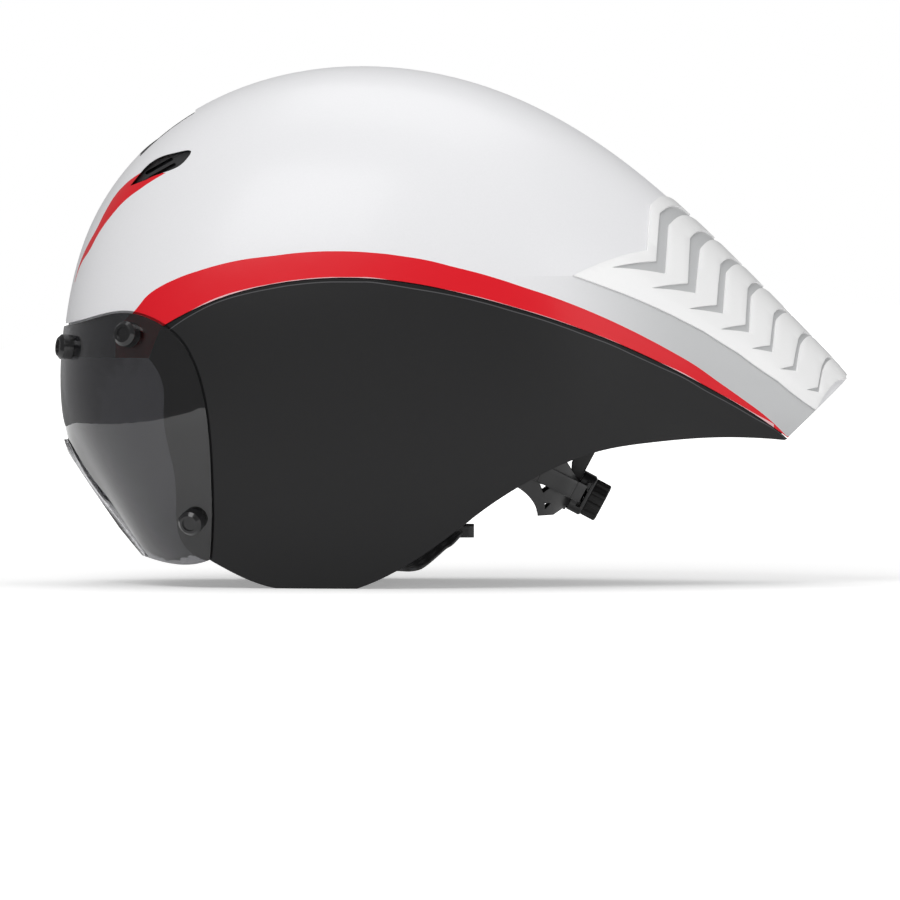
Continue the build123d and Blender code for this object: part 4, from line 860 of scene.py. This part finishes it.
def padded_piece(node, body, fabric):
    """A soft pad in place of a CAD node: its form remeshed, drawn in and blown up by cloth pressure."""
    shape = bmesh.new()
    shape.from_mesh(NODES[node].data)
    bmesh.ops.remove_doubles(shape, verts=shape.verts, dist=WELD)
    data = bpy.data.meshes.new(node + "_cushion")
    shape.to_mesh(data)
    shape.free()
    piece = bpy.data.objects.new(node + "_cushion", data)
    bpy.context.scene.collection.objects.link(piece)
    remesh = piece.modifiers.new("even mesh", "REMESH")
    remesh.mode = "VOXEL"
    remesh.voxel_size = PAD_VOXEL
    finished(piece)
    shape = bmesh.new()
    shape.from_mesh(piece.data)
    shape.normal_update()
    for vert in shape.verts:
        vert.co -= vert.normal * PAD_DRAW
    for _ in range(PAD_SMOOTHINGS):
        bmesh.ops.smooth_vert(shape, verts=shape.verts, factor=0.5, use_axis_x=True, use_axis_y=True,
                              use_axis_z=True)
    shape.to_mesh(piece.data)
    shape.free()
    start = [vert.co.copy() for vert in piece.data.vertices]
    cloth = piece.modifiers.new("stuffing", "CLOTH")
    cloth.settings.use_pressure = True
    cloth.settings.uniform_pressure_force = PAD_PRESSURE
    cloth.settings.effector_weights.gravity = 0.0
    for number in range(1, PAD_FRAMES + 1):
        bpy.context.scene.frame_set(number)
    finished(piece)
    bpy.context.scene.frame_set(1)
    for vert, place in zip(piece.data.vertices, start):
        move = vert.co - place
        if move.length > 2 * PAD_DRAW:
            vert.co = place + move.normalized() * 2 * PAD_DRAW
    piece.data.materials.clear()
    piece.data.materials.append(fabric)
    for polygon in piece.data.polygons:
        polygon.use_smooth = True
    fine = piece.modifiers.new("fine", "SUBSURF")
    fine.levels = fine.render_levels = 1
    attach(piece, body)
    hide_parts(node)


class HELMET_OT_pads(bpy.types.Operator):
    """Replace the pad solids with soft fabric pads"""
    bl_idname = "helmet.pads"
    bl_label = "Pads"

    def execute(self, context):
        knit = knit_fabric()
        for node, body in PADS:
            padded_piece(node, body, knit)
        return {"FINISHED"}


# Half the floor's side, and how far in front of the helmet's middle the white table ends; the visor
# mirrors this edge
FLOOR_REACH = 12.0
TABLE_FRONT = 0.46

# Softboxes: place, the point that they face, size in metres and power in watts
LAMPS = (
    ("key_softbox", (-0.7, -1.5, 1.6), (0, 0, 0.12), 1.2, 21.5),
    ("fill_softbox", (1.4, -1.1, 0.7), (0.05, 0, 0.12), 1.0, 6.0),
    ("top_softbox", (0.1, 0.4, 1.9), (0, 0, 0.15), 1.4, 9.5),
)

# The camera's sensor in millimetres, how far it sees, and how far below the photograph's middle it looks
SENSOR_WIDTH = 36.0
CAMERA_REACH = 50.0
CAMERA_DROP = 0.0006

# Glow of the paper by the helmet, and between which distances from it the glow grows to plain white
NEAR_GLOW = 0.3
GLOW_DISTANCES = (0.35, 1.6)

# The studio's strength as light, and how much less of it a mirror shows
STUDIO_LIGHT = 0.4
MIRROR_DIMMING = 0.12


class HELMET_OT_stage(bpy.types.Operator):
    """Add the pale floor, the soft studio lights and the camera"""
    bl_idname = "helmet.stage"
    bl_label = "Stage"

    def execute(self, context):
        sizes = context.scene.helmet_sizes
        mesh = bmesh.new()
        bmesh.ops.create_grid(mesh, x_segments=2, y_segments=2, size=FLOOR_REACH)
        bmesh.ops.bisect_plane(
            mesh, geom=mesh.verts[:] + mesh.edges[:] + mesh.faces[:], plane_co=(-TABLE_FRONT, 0, 0),
            plane_no=(-1, 0, 0), clear_outer=True)
        data = bpy.data.meshes.new("floor")
        mesh.to_mesh(data)
        mesh.free()
        floor = bpy.data.objects.new("floor", data)
        context.scene.collection.objects.link(floor)
        data.materials.append(backdrop_paint())
        context.scene.world = studio_world()
        for name, place, target, size, power in LAMPS:
            lamp = bpy.data.lights.new(name, "AREA")
            lamp.shape = "SQUARE"
            lamp.size = size
            lamp.energy = power
            light = bpy.data.objects.new(name, lamp)
            light.location = place
            facing = Vector(target) - Vector(place)
            light.rotation_euler = facing.to_track_quat("-Z", "Y").to_euler()
            context.scene.collection.objects.link(light)
        lens = bpy.data.cameras.new("camera")
        lens.sensor_width = SENSOR_WIDTH
        lens.lens = SENSOR_WIDTH * sizes.camera_distance / (PHOTO_SIZE * PHOTO_MM * MM)
        lens.clip_end = CAMERA_REACH
        camera = bpy.data.objects.new("camera", lens)
        middle_x, middle_z = at_photo(PHOTO_MIDDLE, PHOTO_MIDDLE)
        target = Vector((middle_x, 0.0, middle_z - CAMERA_DROP))
        elevation = sizes.camera_elevation
        away = Vector((0, -math.cos(elevation), math.sin(elevation)))
        camera.location = target + away * sizes.camera_distance
        camera.rotation_euler = (target - camera.location).to_track_quat("-Z", "Y").to_euler()
        context.scene.collection.objects.link(camera)
        context.scene.camera = camera
        context.scene.view_settings.view_transform = "Standard"
        return {"FINISHED"}


def ray_share(tree, *kinds):
    """1 where a ray is of one of the kinds that the light path node tells apart."""
    path = add_node(tree, "ShaderNodeLightPath")
    share = path.outputs[kinds[0]]
    for kind in kinds[1:]:
        either = add_node(
            tree, "ShaderNodeMath", {"operation": "MAXIMUM"}, i0=share, i1=path.outputs[kind])
        share = either.outputs["Value"]
    return share


def backdrop_paint():
    """Matt white paper: it keeps the helmet's shadow near by, and further off it shows plain white."""
    material, tree, principled = new_material(
        "matt_paper_white", Base_Color=srgb("F4F4F4"), Roughness=0.8, Emission_Color=(1, 1, 1, 1))
    place = add_node(tree, "ShaderNodeTexCoord").outputs["Object"]
    distance = add_node(tree, "ShaderNodeVectorMath", {"operation": "LENGTH"}, i0=place)
    plain = add_node(
        tree, "ShaderNodeMapRange", {"interpolation_type": "SMOOTHSTEP"},
        Value=distance.outputs["Value"], From_Min=GLOW_DISTANCES[0], From_Max=GLOW_DISTANCES[1],
        To_Min=NEAR_GLOW, To_Max=1.0)
    seen = ray_share(tree, "Is Camera Ray", "Is Glossy Ray", "Is Transmission Ray")
    glow = add_node(
        tree, "ShaderNodeMath", {"operation": "MULTIPLY"}, i0=plain.outputs["Result"], i1=seen)
    tree.links.new(glow.outputs["Value"], principled.inputs["Emission Strength"])
    fibres = add_node(tree, "ShaderNodeTexNoise", Vector=place, Scale=PAPER_FIBRES, Detail=2.0)
    give_surface(tree, principled, fibres.outputs["Fac"], depth=0.0001)
    return material


def studio_world():
    """The studio: white to the eye and through glass, gentler as light, dim in mirrors."""
    world = bpy.data.worlds.new("studio")
    world.use_nodes = True
    tree = world.node_tree
    seen = ray_share(tree, "Is Camera Ray", "Is Transmission Ray")
    lit = add_node(tree, "ShaderNodeMapRange", Value=seen, To_Min=STUDIO_LIGHT, To_Max=1.0)
    mirrored_light = add_node(
        tree, "ShaderNodeMath", {"operation": "MULTIPLY"}, i0=ray_share(tree, "Is Glossy Ray"),
        i1=MIRROR_DIMMING)
    strength = add_node(
        tree, "ShaderNodeMath", {"operation": "SUBTRACT"}, i0=lit.outputs["Result"],
        i1=mirrored_light.outputs["Value"])
    background = tree.nodes["Background"]
    background.inputs["Color"].default_value = (1, 1, 1, 1)
    tree.links.new(strength.outputs["Value"], background.inputs["Strength"])
    return world


class HELMET_PT_panel(bpy.types.Panel):
    """Sizes, colours and operators of the helmet"""
    bl_label = "Aero helmet"
    bl_idname = "HELMET_PT_panel"
    bl_space_type = "VIEW_3D"
    bl_region_type = "UI"
    bl_category = "Helmet"

    def draw(self, context):
        for group in (context.scene.helmet_looks, context.scene.helmet_sizes):
            for name in group.bl_rna.properties.keys():
                if name not in {"rna_type", "name"}:
                    self.layout.prop(group, name)
        for operator in OPERATORS:
            self.layout.operator(operator.bl_idname)


OPERATORS = (
    HELMET_OT_finishes, HELMET_OT_tail_graphics, HELMET_OT_straps, HELMET_OT_belts, HELMET_OT_pads,
    HELMET_OT_stage,
)
CLASSES = (HelmetLooks, HelmetSizes) + OPERATORS + (HELMET_PT_panel,)


def register():
    for item in CLASSES:
        bpy.utils.register_class(item)
    bpy.types.Scene.helmet_looks = PointerProperty(type=HelmetLooks)
    bpy.types.Scene.helmet_sizes = PointerProperty(type=HelmetSizes)


def unregister():
    del bpy.types.Scene.helmet_sizes
    del bpy.types.Scene.helmet_looks
    for item in reversed(CLASSES):
        bpy.utils.unregister_class(item)


def main():
    register()
    for operator in OPERATORS:
        group, name = operator.bl_idname.split(".")
        getattr(getattr(bpy.ops, group), name)()


if __name__ == "__main__":
    main()
